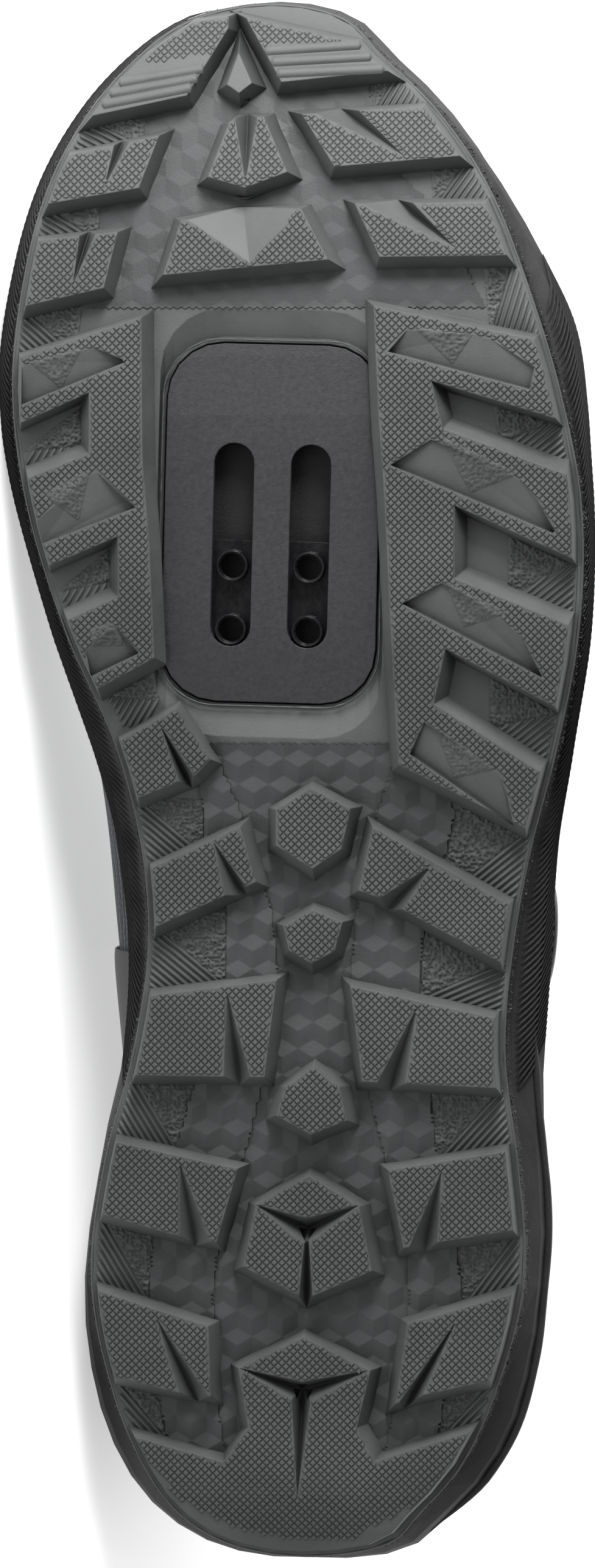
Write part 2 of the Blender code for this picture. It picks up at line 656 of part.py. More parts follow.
def build_midsole(foam):
    """Cup with an overhanging wall, a rim round the upper and a pocket for the cleat nut."""
    def ring(edge, share, rim=0.0):
        return [Vector((p.x, p.y, MIDSOLE_BASE + share * stack(p.y) + rim)) for p in edge]

    rings = [ring(outline(0.0, flare), share) for share, flare in WALL_PROFILE]
    rings.append(ring(outline(RIM_OUTSET), 1.0, RIM_HEIGHT))
    rings.append(ring(outline(RIM_OUTSET - RIM_WIDTH), 1.0, RIM_HEIGHT))
    rings.append(ring(outline(RIM_OUTSET - RIM_WIDTH - GAP), 1.0))
    midsole = ring_body("midsole", rings, foam)
    cuts = bmesh.new()
    centre = place(*PLATE_CENTRE)
    plan = rounded_plan(centre, PLATE_LENGTH, PLATE_WIDTH, PLATE_CORNER, PLATE_TURN, GAP)
    add_prism(cuts, plan, plan, MIDSOLE_BASE - GAP, plate_face() + PLATE_THICKNESS + GAP)
    boolean(midsole, cuts, "DIFFERENCE")
    cuts = bmesh.new()
    rear = BOLT_CENTRE_ALONG - (NUT_LENGTH / 2 + 2 * GAP) / SHOE_LENGTH
    front = SLOT_CENTRE_ALONG + (SLOT_LENGTH / 2 + 2 * GAP) / SHOE_LENGTH
    room = rounded_plan(along_plate((rear + front) / 2), (front - rear) * SHOE_LENGTH, NUT_WIDTH + 4 * GAP,
                        PLATE_CORNER / 4, PLATE_TURN)
    top = plate_face() + PLATE_THICKNESS + NUT_THICKNESS + 3 * GAP
    add_prism(cuts, room, room, MIDSOLE_BASE, top)
    boolean(midsole, cuts, "DIFFERENCE")
    bend(midsole)
    return midsole


def plate_face():
    """Height of the plate's outer face above the tread."""
    return LUG_HEIGHT + PLATE_RECESS


def slot_centre():
    return along_plate(SLOT_CENTRE_ALONG)


def along_plate(along):
    """Point on the plate's long axis at a share of the length."""
    centre = place(*PLATE_CENTRE)
    step = along * SHOE_LENGTH - centre.y
    return centre + Matrix.Rotation(PLATE_TURN, 2) @ Vector((0, step))


def slot_side(sign):
    return Matrix.Rotation(PLATE_TURN, 2) @ Vector((sign * SLOT_SPACING / 2, 0))


def build_cleat_plate(plastic):
    """Stiff plate in the outsole's window, with two long slots."""
    body = bmesh.new()
    plan = rounded_plan(place(*PLATE_CENTRE), PLATE_LENGTH, PLATE_WIDTH, PLATE_CORNER, PLATE_TURN)
    add_prism(body, plan, plan, plate_face(), plate_face() + PLATE_THICKNESS)
    plate = make_object("cleat_plate", body, plastic)
    cuts = bmesh.new()
    for sign in (-1, 1):
        slot = rounded_plan(slot_centre() + slot_side(sign), SLOT_LENGTH, SLOT_WIDTH,
                            SLOT_WIDTH / 2 - GAP / 10, PLATE_TURN)
        add_prism(cuts, slot, slot, plate_face() - GAP, plate_face() + PLATE_THICKNESS + GAP)
    boolean(plate, cuts, "DIFFERENCE")
    bend(plate)
    return plate


def build_cleat_nut(steel):
    """Steel plate behind the slots with four threaded collars that stand into them."""
    body = bmesh.new()
    back = plate_face() + PLATE_THICKNESS + GAP
    plan = rounded_plan(along_plate(BOLT_CENTRE_ALONG), NUT_LENGTH, NUT_WIDTH, PLATE_CORNER / 4, PLATE_TURN)
    add_prism(body, plan, plan, back, back + NUT_THICKNESS)
    nut = make_object("cleat_nut", body, steel)
    along_step = Matrix.Rotation(PLATE_TURN, 2) @ Vector((0, BOLT_SPACING / 2))
    centres = [along_plate(BOLT_CENTRE_ALONG) + slot_side(sx) + sy * along_step
               for sx in (-1, 1) for sy in (-1, 1)]
    collars, bores = bmesh.new(), bmesh.new()
    for centre in centres:
        wall = circle_plan(centre, COLLAR_DIAMETER / 2, BORE_SIDES)
        bore = circle_plan(centre, BORE_DIAMETER / 2, BORE_SIDES)
        add_prism(collars, wall, wall, plate_face() + GAP * 2, back + NUT_THICKNESS / 2)
        add_prism(bores, bore, bore, plate_face(), back + NUT_THICKNESS + GAP)
    boolean(nut, collars, "UNION")
    boolean(nut, bores, "DIFFERENCE")
    bend(nut)
    return nut


# Foot of the upper inside the rim
FOOT_OUTSET = RIM_OUTSET - RIM_WIDTH - 2 * GAP


def build_insole(fabric):
    """Flat footbed inside the foot of the upper."""
    edge = outline(FOOT_OUTSET - UPPER_WALL - 3 * GAP)
    low = [Vector((p.x, p.y, seat(p.y) + GAP)) for p in edge]
    high = [Vector((p.x, p.y, seat(p.y) + GAP + INSOLE_THICKNESS)) for p in edge]
    return ring_body("insole", [low, high], fabric)


def control_points(side, index):
    """Six points of one half of an upper section, from the seat to its top edge."""
    along = STATIONS[index]
    sign = 1.0 if side == "medial" else -1.0
    count = 2 * (len(STATIONS) - 1)
    foot = FOOT_LOOP[index if side == "medial" else -index % count]
    floor = seat(foot.y)
    clear = floor + RIM_HEIGHT + OVERLAY_THICKNESS + 3 * GAP
    points = [Vector((foot.x, foot.y, floor + GAP)), Vector((foot.x, foot.y, clear))]
    height = UPPER.at("height", along) * INSTEP_HEIGHT
    heel_share = max(1.0 - along / 0.30, 0.0) ** 2
    toe_share = max((along - 0.80) / 0.20, 0.0) ** 2
    centre_floor = seat(along * SHOE_LENGTH)
    for level, share, heel, toe in LEVELS:
        x = sign * UPPER.at(level + "_" + side, along) * BALL_HALF_WIDTH
        if level == "edge" and along > THROAT_FRONT - 1e-6:
            medial, lateral = UPPER.at("edge_medial", along), UPPER.at("edge_lateral", along)
            x = (medial - lateral) / 2 * BALL_HALF_WIDTH
        y = along * SHOE_LENGTH + heel * heel_share * HEEL_LEAN - toe * toe_share * TOE_SLOPE
        z = centre_floor + RIM_HEIGHT + share * (height - RIM_HEIGHT)
        points.append(Vector((x, y, z)))
    return points


FOOT_LOOP = outline(FOOT_OUTSET)


def section_point(side, index, step):
    """Point of the upper's outer face at a step from 0 at the seat to 5 at the top edge."""
    points = control_points(side, index)
    if STATIONS[index] > THROAT_FRONT - 1e-6:
        other = control_points("lateral" if side == "medial" else "medial", index)
        points.append(other[4])
    else:
        points.append(2 * points[5] - points[4])
    points.insert(0, 2 * points[0] - points[1])
    k = min(int(step), 4)
    t = step - k
    p0, p1, p2, p3 = points[k:k + 4]
    return 0.5 * (2 * p1 + (p2 - p0) * t + (2 * p0 - 5 * p1 + 4 * p2 - p3) * t ** 2
                  + (3 * p1 - p0 - 3 * p2 + p3) * t ** 3)


def upper_grid():
    """Outer face of the upper as shared vertices with their outward normals."""
    bm = bmesh.new()
    last = len(STATIONS) - 1
    grid = {}
    for i in range(last + 1):
        for j, step in enumerate(LEVEL_STEPS):
            medial = bm.verts.new(section_point("medial", i, step))
            grid["medial", i, j] = medial
            shared = i in (0, last) or (j == len(LEVEL_STEPS) - 1 and STATIONS[i] > THROAT_FRONT - 1e-6)
            grid["lateral", i, j] = medial if shared else bm.verts.new(section_point("lateral", i, step))
    for side in ("medial", "lateral"):
        for i in range(last):
            for j in range(len(LEVEL_STEPS) - 1):
                corners = [grid[side, i, j], grid[side, i + 1, j], grid[side, i + 1, j + 1], grid[side, i, j + 1]]
                bm.faces.new(corners if side == "medial" else corners[::-1])
    bm.normal_update()
    bm.verts.index_update()
    places = {key: (vert.co.copy(), vert.normal.copy()) for key, vert in grid.items()}
    owners = {key: vert.index for key, vert in grid.items()}
    bm.free()
    return places, owners


def shell(name, wanted, inner, outer, colour):
    """Closed solid between two offsets of the upper's outer face, over the wanted cells."""
    bm = bmesh.new()
    made = {}

    def vertex(key, offset):
        mark = (GRID_OWNERS[key], offset)
        if mark not in made:
            position, normal = GRID[key]
            made[mark] = bm.verts.new(position + normal * offset)
        return made[mark]

    edges = {}
    for side in ("medial", "lateral"):
        for i in range(len(STATIONS) - 1):
            for j in range(len(LEVEL_STEPS) - 1):
                if not wanted(side, i, j):
                    continue
                keys = [(side, i, j), (side, i + 1, j), (side, i + 1, j + 1), (side, i, j + 1)]
                if side == "lateral":
                    keys.reverse()
                for a, b, c in ((0, 1, 2), (0, 2, 3)):
                    bm.faces.new([vertex(keys[n], outer) for n in (a, b, c)])
                    bm.faces.new([vertex(keys[n], inner) for n in (c, b, a)])
                for a, b in zip(keys, keys[1:] + keys[:1]):
                    pair = (GRID_OWNERS[a], GRID_OWNERS[b])
                    if pair[::-1] in edges:
                        del edges[pair[::-1]]
                    else:
                        edges[pair] = (a, b)
    for a, b in edges.values():
        bm.faces.new((vertex(b, outer), vertex(a, outer), vertex(a, inner), vertex(b, inner)))
    return make_object(name, bm, colour)


GRID, GRID_OWNERS = upper_grid()


def build_upper(cloth):
    return shell("upper", lambda side, i, j: True, -UPPER_WALL, 0.0, cloth)


# Overlays: where the heel counter and the band round the throat start and end
COUNTER_FRONT = {"medial": 0.42, "lateral": 0.31}
COUNTER_TOP = 3.5
EYESTAY_STEP = 4.0
EYESTAY_FRONT = 0.785


def build_counter(film):
    """Smooth film over the heel and the rear quarters."""
    def wanted(side, i, j):
        return STATIONS[i + 1] <= COUNTER_FRONT[side] and j >= 1 and LEVEL_STEPS[j + 1] <= COUNTER_TOP

    return shell("counter", wanted, GAP, GAP + OVERLAY_THICKNESS, film)


def build_eyestay(film):
    """Band round the throat that carries the lace guides."""
    def wanted(side, i, j):
        start, end = STATIONS[i], STATIONS[i + 1]
        return start > THROAT_BACK - 0.01 and end < EYESTAY_FRONT and LEVEL_STEPS[j] >= EYESTAY_STEP

    return shell("eyestay", wanted, GAP, GAP + OVERLAY_THICKNESS, film)

# Tongue: where it starts under the vamp, and the lean of its free tip
TONGUE_FRONT = 0.765
TONGUE_POINTS = 9
TIP_ANGLE = math.radians(52)
TIP_RINGS = 3
TONGUE_REAR_WIDTHS = (0.55, 0.75, 0.90)


def throat_line(index):
    """Line across a section: down the inner side, over the throat and up from the outer side."""
    steps = [3.0 + 0.25 * i for i in range(9)]
    medial = [section_point("medial", index, step) for step in steps]
    lateral = [section_point("lateral", index, step) for step in steps]
    line = [Vector((p.x, p.z)) for p in medial]
    back = [Vector((p.x, p.z)) for p in reversed(lateral)]
    span = (back[0] - line[-1]).length
    if span > GAP:
        start, end = line[-1], back[0]
        lead = (line[-1] - line[-2]).normalized() * span * 0.3
        trail = (back[0] - back[1]).normalized() * span * 0.3
        for i in range(1, 6):
            t = i / 6
            line.append(start * (1 - t) ** 3 + 3 * (start + lead) * t * (1 - t) ** 2
                        + 3 * (end + trail) * t * t * (1 - t) + end * t ** 3)
        line += back
    else:
        line += back[1:]
    return line


def along_line(line, distance):
    """Point and downward normal of a line at a signed distance from its middle."""
    lengths = [(b - a).length for a, b in zip(line, line[1:])]
    target = sum(lengths) / 2 + distance
    for (a, b), length in zip(zip(line, line[1:]), lengths):
        if target <= length:
            break
        target -= length
    run = (b - a).normalized()
    return a + run * target, Vector((run.y, -run.x))


def tongue_ring(index, half_width, drop):
    """Closed ring of the tongue below one section of the upper."""
    line = throat_line(index)
    y = section_point("medial", index, LEVEL_STEPS[-1]).y
    top, bottom = [], []
    for i in range(TONGUE_POINTS):
        point, down = along_line(line, half_width * (2 * i / (TONGUE_POINTS - 1) - 1))
        if down.y > 0:
            down = -down
        edge = 1 - abs(2 * i / (TONGUE_POINTS - 1) - 1) ** 4
        high = point + down * (UPPER_WALL + drop)
        low = high + down * (TONGUE_THICKNESS * (0.35 + 0.65 * edge))
        top.append(Vector((high.x, y, high.y)))
        bottom.append(Vector((low.x, y, low.y)))
    return top + bottom[::-1]


def build_tongue(cloth):
    """Padded tongue that follows the inside of the throat and stands out at the collar."""
    chosen = [i for i, u in enumerate(STATIONS) if THROAT_BACK - 0.01 < u < TONGUE_FRONT]
    rings = []
    for number, index in enumerate(chosen):
        share = number / (len(chosen) - 1)
        width = TONGUE_REAR_WIDTHS[number] if number < len(TONGUE_REAR_WIDTHS) else 1.0 - 0.3 * share
        rings.append(tongue_ring(index, TONGUE_HALF_WIDTH * width, (4 + 5 * share) * GAP))
    rings.reverse()
    last = rings[-1]
    for i in range(1, TIP_RINGS + 1):
        step = TONGUE_TIP * i / TIP_RINGS
        move = Vector((0, -math.cos(TIP_ANGLE) * step, math.sin(TIP_ANGLE) * step))
        middle = sum(last, Vector()) / len(last)
        narrow = 1.0 - 0.12 * (i / TIP_RINGS) ** 2
        ring = []
        for point in last:
            ring.append(Vector((middle.x + (point.x - middle.x) * narrow, point.y, point.z)) + move)
        rings.append(ring)
    bm = bmesh.new()
    loops = [[bm.verts.new(p) for p in ring] for ring in rings]
    for low, high in zip(loops, loops[1:]):
        for i in range(len(low)):
            j = (i + 1) % len(low)
            bm.faces.new((low[i], low[j], high[j], high[i]))
    for loop in (loops[0], loops[-1]):
        for i in range(TONGUE_POINTS - 1):
            j = 2 * TONGUE_POINTS - 1 - i
            bm.faces.new((loop[i], loop[i + 1], loop[j - 1], loop[j]))
    return make_object("tongue", bm, cloth)


# Lace dial, its place on the outer quarter, and the lace guides along the throat
DIAL_ALONG = 0.386
DIAL_STEP = 3.30
DIAL_TEETH = 36
DIAL_TOOTH = 0.0006
GUIDE_PLACES = (0.690, 0.625, 0.555, 0.485)
GUIDE_STEP = 4.55
CABLE_SIDES = 6
CABLE_POINTS = 61
CABLE_CLEARANCE = CABLE_DIAMETER / 2 + 2 * GAP


def surface_tree(objects):
    """Search tree over the faces of the pieces on which others are seated."""
    verts, faces = [], []
    for obj in objects:
        start = len(verts)
        verts += [v.co.copy() for v in obj.data.vertices]
        faces += [[start + i for i in face.vertices] for face in obj.data.polygons]
    return BVHTree.FromPolygons(verts, faces)


def surface_frame(side, along, step):
    """Point of the upper's outer face with its directions to the toe, up the section and out."""
    index = min(range(len(STATIONS)), key=lambda i: abs(STATIONS[i] - along))
    share = along - STATIONS[index]
    other = index + (1 if share >= 0 else -1)
    share = abs(share) / abs(STATIONS[other] - STATIONS[index])
    here = section_point(side, index, step).lerp(section_point(side, other, step), share)
    ahead = section_point(side, index + 1, step) - section_point(side, index - 1, step)
    above = section_point(side, index, step + 0.1) - section_point(side, index, step - 0.1)
    out = above.cross(ahead) if side == "medial" else ahead.cross(above)
    out.normalize()
    if out.x * (1 if side == "medial" else -1) < 0:
        out = -out
    ahead = (ahead - out * ahead.dot(out)).normalized()
    return here, ahead, out.cross(ahead), out


def seated(tree, point, out):
    """Point dropped onto the seat along a direction, with the usual gap."""
    hit = tree.ray_cast(point + out * 0.02, -out)[0]
    return (hit if hit else point) + out * 2 * GAP


def seated_block(name, tree, frame, low, high, height, colour):
    """Block whose foot follows the surface that it stands on and whose top is flat."""
    here, ahead, across, out = frame
    bm = bmesh.new()
    foot = [bm.verts.new(seated(tree, here + ahead * p.x + across * p.y, out)) for p in low]
    inner = [bm.verts.new(seated(tree, here + (ahead * p.x + across * p.y) / 2, out)) for p in low]
    middle = bm.verts.new(seated(tree, here, out))
    top = [bm.verts.new(here + ahead * p.x + across * p.y + out * height) for p in high]
    bm.faces.new(top)
    for i in range(len(low)):
        j = (i + 1) % len(low)
        bm.faces.new((foot[i], foot[j], top[j], top[i]))
        bm.faces.new((foot[j], foot[i], inner[i], inner[j]))
        bm.faces.new((inner[j], inner[i], middle))
    return make_object(name, bm, colour)


def build_dial(tree, shell_colour, knob_colour):
    """Lace dial on the outer quarter: a sloping base and a knob with a toothed rim."""
    frame = surface_frame("lateral", DIAL_ALONG, DIAL_STEP)
    here, ahead, across, out = frame
    low = circle_plan(Vector((0, 0)), DIAL_BASE_DIAMETER / 2, ROUND_SIDES)
    high = circle_plan(Vector((0, 0)), DIAL_KNOB_DIAMETER / 2 + GAP, ROUND_SIDES)
    seated_block("dial_base", tree, frame, low, high, DIAL_BASE_HEIGHT, shell_colour)
    bm = bmesh.new()
    rims = []
    for level, grow in ((DIAL_BASE_HEIGHT + GAP, 1.0), (DIAL_BASE_HEIGHT + DIAL_KNOB_HEIGHT, 0.90)):
        rim = []
        for i in range(2 * DIAL_TEETH):
            angle = math.pi * i / DIAL_TEETH
            radius = (DIAL_KNOB_DIAMETER / 2 - DIAL_TOOTH * (i % 2)) * grow
            flat = ahead * math.cos(angle) * radius + across * math.sin(angle) * radius
            rim.append(bm.verts.new(here + flat + out * level))
        rims.append(rim)
        bm.faces.new(rim)
    for i in range(2 * DIAL_TEETH):
        j = (i + 1) % (2 * DIAL_TEETH)
        bm.faces.new((rims[0][i], rims[0][j], rims[1][j], rims[1][i]))
    make_object("dial_knob", bm, knob_colour)


def build_guides(tree, colour):
    """Low lace guides on the eyestay, four on each side."""
    half = Vector((GUIDE_LENGTH / 2, GUIDE_WIDTH / 2))
    low = [Vector((sx * half.x, sy * half.y)) for sx, sy in ((1, 1), (-1, 1), (-1, -1), (1, -1))]
    high = [p * 0.8 for p in low]
    level = GAP + OVERLAY_THICKNESS + GUIDE_HEIGHT
    for side in ("medial", "lateral"):
        for number, along in enumerate(GUIDE_PLACES, 1):
            name = "lace_guide_%s_%d" % (side, number)
            frame = surface_frame(side, along, GUIDE_STEP)
            seated_block(name, tree, frame, low, high, level, colour)


def cable_end(side, number):
    """Where the cable leaves a guide, on the side of the throat."""
    here, ahead, across, out = surface_frame(side, GUIDE_PLACES[number], GUIDE_STEP)
    edge = surface_frame(side, GUIDE_PLACES[number], 5.0)[0]
    inward = (edge - here).normalized()
    reach = GUIDE_WIDTH / 2 + CABLE_DIAMETER / 2 + 2 * GAP
    return here + inward * reach + out * (2 * GAP + OVERLAY_THICKNESS + CABLE_DIAMETER)


def taut_path(tree, start, end):
    """Points of a cable pulled tight between two ends over the pieces below it."""
    up = Vector((0, 0.45, 0.9)).normalized()
    last = CABLE_POINTS - 1
    lifts = []
    for i in range(CABLE_POINTS):
        point = start.lerp(end, i / last)
        hit, normal, _, _ = tree.ray_cast(point + up * INSTEP_HEIGHT / 2, -up)
        need = (hit - point).dot(up) + CABLE_CLEARANCE / max(normal.dot(up), 0.4) if hit else 0.0
        lifts.append(max(need, 0.0))
    kept = [0]
    for i in range(1, CABLE_POINTS):
        while len(kept) > 1:
            a, b = kept[-2], kept[-1]
            if (lifts[b] - lifts[a]) * (i - a) >= (lifts[i] - lifts[a]) * (b - a):
                break
            kept.pop()
        kept.append(i)
    return [start.lerp(end, i / last) + up * lifts[i] for i in kept], up


def add_cable(bm, tree, start, end):
    """One run of cable that lies over the tongue between two guides."""
    points, up = taut_path(tree, start, end)
    rings = []
    for i, point in enumerate(points):
        run = (points[min(i + 1, len(points) - 1)] - points[max(i - 1, 0)]).normalized()
        side = run.cross(up).normalized()
        lift = side.cross(run)
        ring = []
        for k in range(CABLE_SIDES):
            angle = 2 * math.pi * k / CABLE_SIDES
            ring.append(bm.verts.new(point + (side * math.cos(angle) + lift * math.sin(angle)) * CABLE_DIAMETER / 2))
        rings.append(ring)
    for low, high in zip(rings, rings[1:]):
        for k in range(CABLE_SIDES):
            j = (k + 1) % CABLE_SIDES
            bm.faces.new((low[k], low[j], high[j], high[k]))
    bm.faces.new(rings[0])
    bm.faces.new(rings[-1])


def build_cable(tree, colour):
    """Thin cable that crosses the tongue between the guides, joined where its runs meet."""
    last = len(GUIDE_PLACES) - 1
    runs = [(("medial", 0), ("lateral", 0))]
    for i in range(last):
        runs.append((("medial", i), ("lateral", i + 1)))
        runs.append((("lateral", i), ("medial", i + 1)))
    cable = None
    for start, end in runs:
        bm = bmesh.new()
        a, b = cable_end(*start), cable_end(*end)
        over = (b - a).normalized() * CABLE_DIAMETER * 0.3
        add_cable(bm, tree, a - over, b + over)
        if cable is None:
            cable = make_object("lace_cable", bm, colour)
        else:
            boolean(cable, bm, "UNION")
    return cable


def volume_and_centre(mesh):
    """Volume of a closed mesh and its centre."""
    volume, moment = 0.0, Vector()
    for face in mesh.polygons:
        corners = [mesh.vertices[i].co for i in face.vertices]
        for b, c in zip(corners[1:], corners[2:]):
            part = corners[0].dot(b.cross(c)) / 6
            volume += part
            moment += part * (corners[0] + b + c) / 4
    return volume, moment / volume


def lay_down(pieces):
    """Turns the shoe onto the face of its hull below its centre, inner side down, at the origin."""
    weights = [volume_and_centre(obj.data) for obj in pieces]
    centre = sum((v * c for v, c in weights), Vector()) / sum(v for v, _ in weights)
    bm = bmesh.new()
    for obj in pieces:
        for vert in obj.data.vertices:
            bm.verts.new(vert.co)
    bmesh.ops.convex_hull(bm, input=bm.verts[:])
    bm.normal_update()
    down = Vector((1, 0, 0))
    for face in bm.faces:
        corners = [v.co for v in face.verts]
        if face.normal.x > 0.5 and intersect_ray_tri(*corners[:3], Vector((1, 0, 0)), centre):
            down = face.normal.copy()
    toe = (Vector((0, 1, 0)) - down * down.y).normalized()
    turn = Matrix((-toe, down.cross(toe), -down))
    spots = [turn @ v.co for v in bm.verts]
    bm.free()
    low = [min(p[i] for p in spots) for i in range(3)]
    high = [max(p[i] for p in spots) for i in range(3)]
    shift = Vector((-(low[0] + high[0]) / 2, -(low[1] + high[1]) / 2, -low[2]))
    root = bpy.data.objects.new("shoe", None)
    bpy.context.collection.objects.link(root)
    root.matrix_world = Matrix.Translation(shift) @ turn.to_4x4()
    for obj in pieces:
        obj.parent = root
    bpy.context.view_layer.update()


def smooth(names, angle):
    for name in names:
        mesh = bpy.data.objects[name].data
        mesh.shade_smooth()
        mesh.set_sharp_from_angle(angle=angle)


def remove_all():
    for obj in list(bpy.data.objects):
        bpy.data.objects.remove(obj)


def main():
    remove_all()
    rubber = material("outsole_rubber", (0.075, 0.082, 0.082), 0.62)
    foam = material("midsole_moulding", (0.045, 0.045, 0.047), 0.60)
    plastic = material("cleat_plate_plastic", (0.022, 0.022, 0.023), 0.45)
    steel = material("cleat_nut_steel", (0.020, 0.020, 0.022), 0.15, 0.6)
    cloth = material("upper_cloth", (0.020, 0.024, 0.035), 0.85)
    film = material("overlay_film", (0.075, 0.078, 0.080), 0.40)
    lining = material("insole_fabric", (0.030, 0.030, 0.032), 0.90)
    dial = material("dial_plastic", (0.030, 0.030, 0.032), 0.40)
    build_outsole(rubber)
    build_midsole(foam)
    build_cleat_plate(plastic)
    build_cleat_nut(steel)
    build_insole(lining)
    upper = build_upper(cloth)
    counter = build_counter(film)
    eyestay = build_eyestay(film)
    tongue = build_tongue(cloth)
    tree = surface_tree([upper, counter, eyestay])
    build_guides(tree, dial)
    build_dial(tree, film, dial)
    build_cable(surface_tree([upper, eyestay, tongue]), steel)
    smooth(["upper", "counter", "eyestay", "tongue", "midsole", "insole"], math.radians(40))
    lay_down([obj for obj in bpy.data.objects if obj.type == "MESH"])


main()
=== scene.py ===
"""Looks of the left off-road cycling shoe: camera, light, materials and the fine detail of its pieces.

Detail is placed in the shoe's own frame, as in the CAD source: +X towards the inner (medial)
side, +Y towards the toe and +Z from the ground up. Shares run across (of the ball's half
width, positive outwards) and along (of the length, from the heel).
"""

import json
import math
import random

import bmesh
import bpy
from mathutils import Matrix, Vector, noise
from mathutils.bvhtree import BVHTree


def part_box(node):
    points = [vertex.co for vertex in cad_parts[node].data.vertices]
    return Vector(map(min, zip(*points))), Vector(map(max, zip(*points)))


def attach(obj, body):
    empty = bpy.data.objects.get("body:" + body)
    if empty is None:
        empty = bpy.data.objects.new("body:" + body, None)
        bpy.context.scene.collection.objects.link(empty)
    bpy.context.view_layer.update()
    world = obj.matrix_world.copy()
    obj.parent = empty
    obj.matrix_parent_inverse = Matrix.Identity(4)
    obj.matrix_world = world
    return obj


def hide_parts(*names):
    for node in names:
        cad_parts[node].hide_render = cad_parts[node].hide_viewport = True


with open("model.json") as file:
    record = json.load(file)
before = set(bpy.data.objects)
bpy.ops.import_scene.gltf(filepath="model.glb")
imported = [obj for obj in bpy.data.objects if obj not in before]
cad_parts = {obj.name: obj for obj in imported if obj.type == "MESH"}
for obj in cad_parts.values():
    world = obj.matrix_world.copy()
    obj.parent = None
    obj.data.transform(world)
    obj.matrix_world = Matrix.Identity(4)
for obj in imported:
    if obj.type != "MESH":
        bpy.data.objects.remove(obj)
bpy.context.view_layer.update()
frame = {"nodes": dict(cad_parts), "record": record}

# Lengths shared with the CAD source, in metres
SHOE_LENGTH = 0.284
BALL_HALF_WIDTH = 0.054
INSTEP_HEIGHT = 0.084
TOE_SPRING = 0.023
ARCH_RISE = 0.003
HEEL_BEVEL = 0.004
LUG_HEIGHT = 0.0045
WEB_THICKNESS = 0.0022
FOREFOOT_STACK = 0.0085
HEEL_STACK = 0.0175
WALL_OVERHANG = 0.0028
RIM_HEIGHT = 0.004
RIM_WIDTH = 0.002
RIM_OUTSET = 0.0018
UPPER_WALL = 0.002
OVERLAY_THICKNESS = 0.001
INSOLE_THICKNESS = 0.0035
HEEL_LEAN = 0.010
TOE_SLOPE = 0.024
PLATE_LENGTH = 0.065
PLATE_WIDTH = 0.039
PLATE_CORNER = 0.010
PLATE_RECESS = 0.0012
SLOT_SPACING = 0.014
BOLT_SPACING = 0.0116
COLLAR_DIAMETER = 0.0058
BORE_DIAMETER = 0.0048
GAP = 0.0003
MIDSOLE_BASE = LUG_HEIGHT + WEB_THICKNESS + GAP
FOOT_OUTSET = RIM_OUTSET - RIM_WIDTH - 2 * GAP

# Places shared with the CAD source, as shares of the length and of the ball's half width
WALL_PROFILE = ((0.00, 0.00), (0.16, 0.14), (0.36, 0.72), (0.62, 1.00), (1.00, 0.84))
PLATE_CENTRE = (-0.098, 0.6655)
PLATE_TURN = math.radians(1.5)
BOLT_CENTRE_ALONG = 0.6175
HEEL_FLAT_START = 0.06
HEEL_RISE_LIMIT = 1.6
ARCH_START = 0.30
ARCH_END = 0.62
SPRING_START = 0.70
STACK_THIN = 0.66
STACK_FULL = 0.22
THROAT_FRONT = 0.735
COUNTER_FRONT = {"medial": 0.42, "lateral": 0.31}
SIDES = ("medial", "lateral")

# The front tread mount's shares across and along, which tie the shoe's frame to the model's
FOREFOOT_MOUNT = (0.40, 0.65)

# Steps that slopes are measured over, the rays' start below the tread and their direction
OUTLINE_STEP = 0.002
SLOPE_STEP = 0.001
RAY_START = -0.02
UP = Vector((0, 0, 1))

# How far a point that is lifted off the midsole's wall also sinks, as a share of the lift
WALL_DROP = 0.6


class Sections:
    """Table of sections along the shoe, read as smooth curves that run round both ends."""

    def __init__(self, columns, rows):
        self.knots = [self.pace(row[0]) for row in rows]
        self.values = {name: [row[i] for row in rows] for i, name in enumerate(columns)}

    @staticmethod
    def pace(along):
        return math.acos(1.0 - 2.0 * min(max(along, 0.0), 1.0))

    def at(self, name, along):
        knots, values = self.knots, self.values[name]
        x = self.pace(along)
        k = 0
        while k < len(knots) - 2 and x > knots[k + 1]:
            k += 1
        step = knots[k + 1] - knots[k]
        t = (x - knots[k]) / step
        start, end = values[k], values[k + 1]
        rise_in, rise_out = self.slope(values, k) * step, self.slope(values, k + 1) * step
        return (start * (2 * t ** 3 - 3 * t ** 2 + 1) + rise_in * (t ** 3 - 2 * t ** 2 + t)
                + end * (3 * t ** 2 - 2 * t ** 3) + rise_out * (t ** 3 - t ** 2))

    def slope(self, values, k):
        knots = self.knots
        low, high = max(k - 1, 0), min(k + 1, len(knots) - 1)
        if low == k or high == k:
            return (values[high] - values[low]) / (knots[high] - knots[low])
        before, after = knots[k] - knots[low], knots[high] - knots[k]
        first = (values[k] - values[low]) / before
        second = (values[high] - values[k]) / after
        return (first * after + second * before) / (before + after)


SOLE = Sections(
    ("along", "medial", "lateral"),
    (
        (0.000, 0.000, 0.000),
        (0.010, 0.270, 0.300),
        (0.030, 0.420, 0.400),
        (0.060, 0.530, 0.535),
        (0.110, 0.636, 0.659),
        (0.190, 0.704, 0.756),
        (0.260, 0.652, 0.729),
        (0.330, 0.556, 0.687),
        (0.400, 0.511, 0.716),
        (0.460, 0.539, 0.773),
        (0.520, 0.617, 0.855),
        (0.600, 0.795, 0.934),
        (0.680, 0.921, 0.939),
        (0.750, 0.967, 0.868),
        (0.820, 0.937, 0.752),
        (0.880, 0.865, 0.621),
        (0.930, 0.735, 0.440),
        (0.965, 0.583, 0.252),
        (0.990, 0.400, 0.115),
        (1.000, 0.130, -0.130),
    ),
)

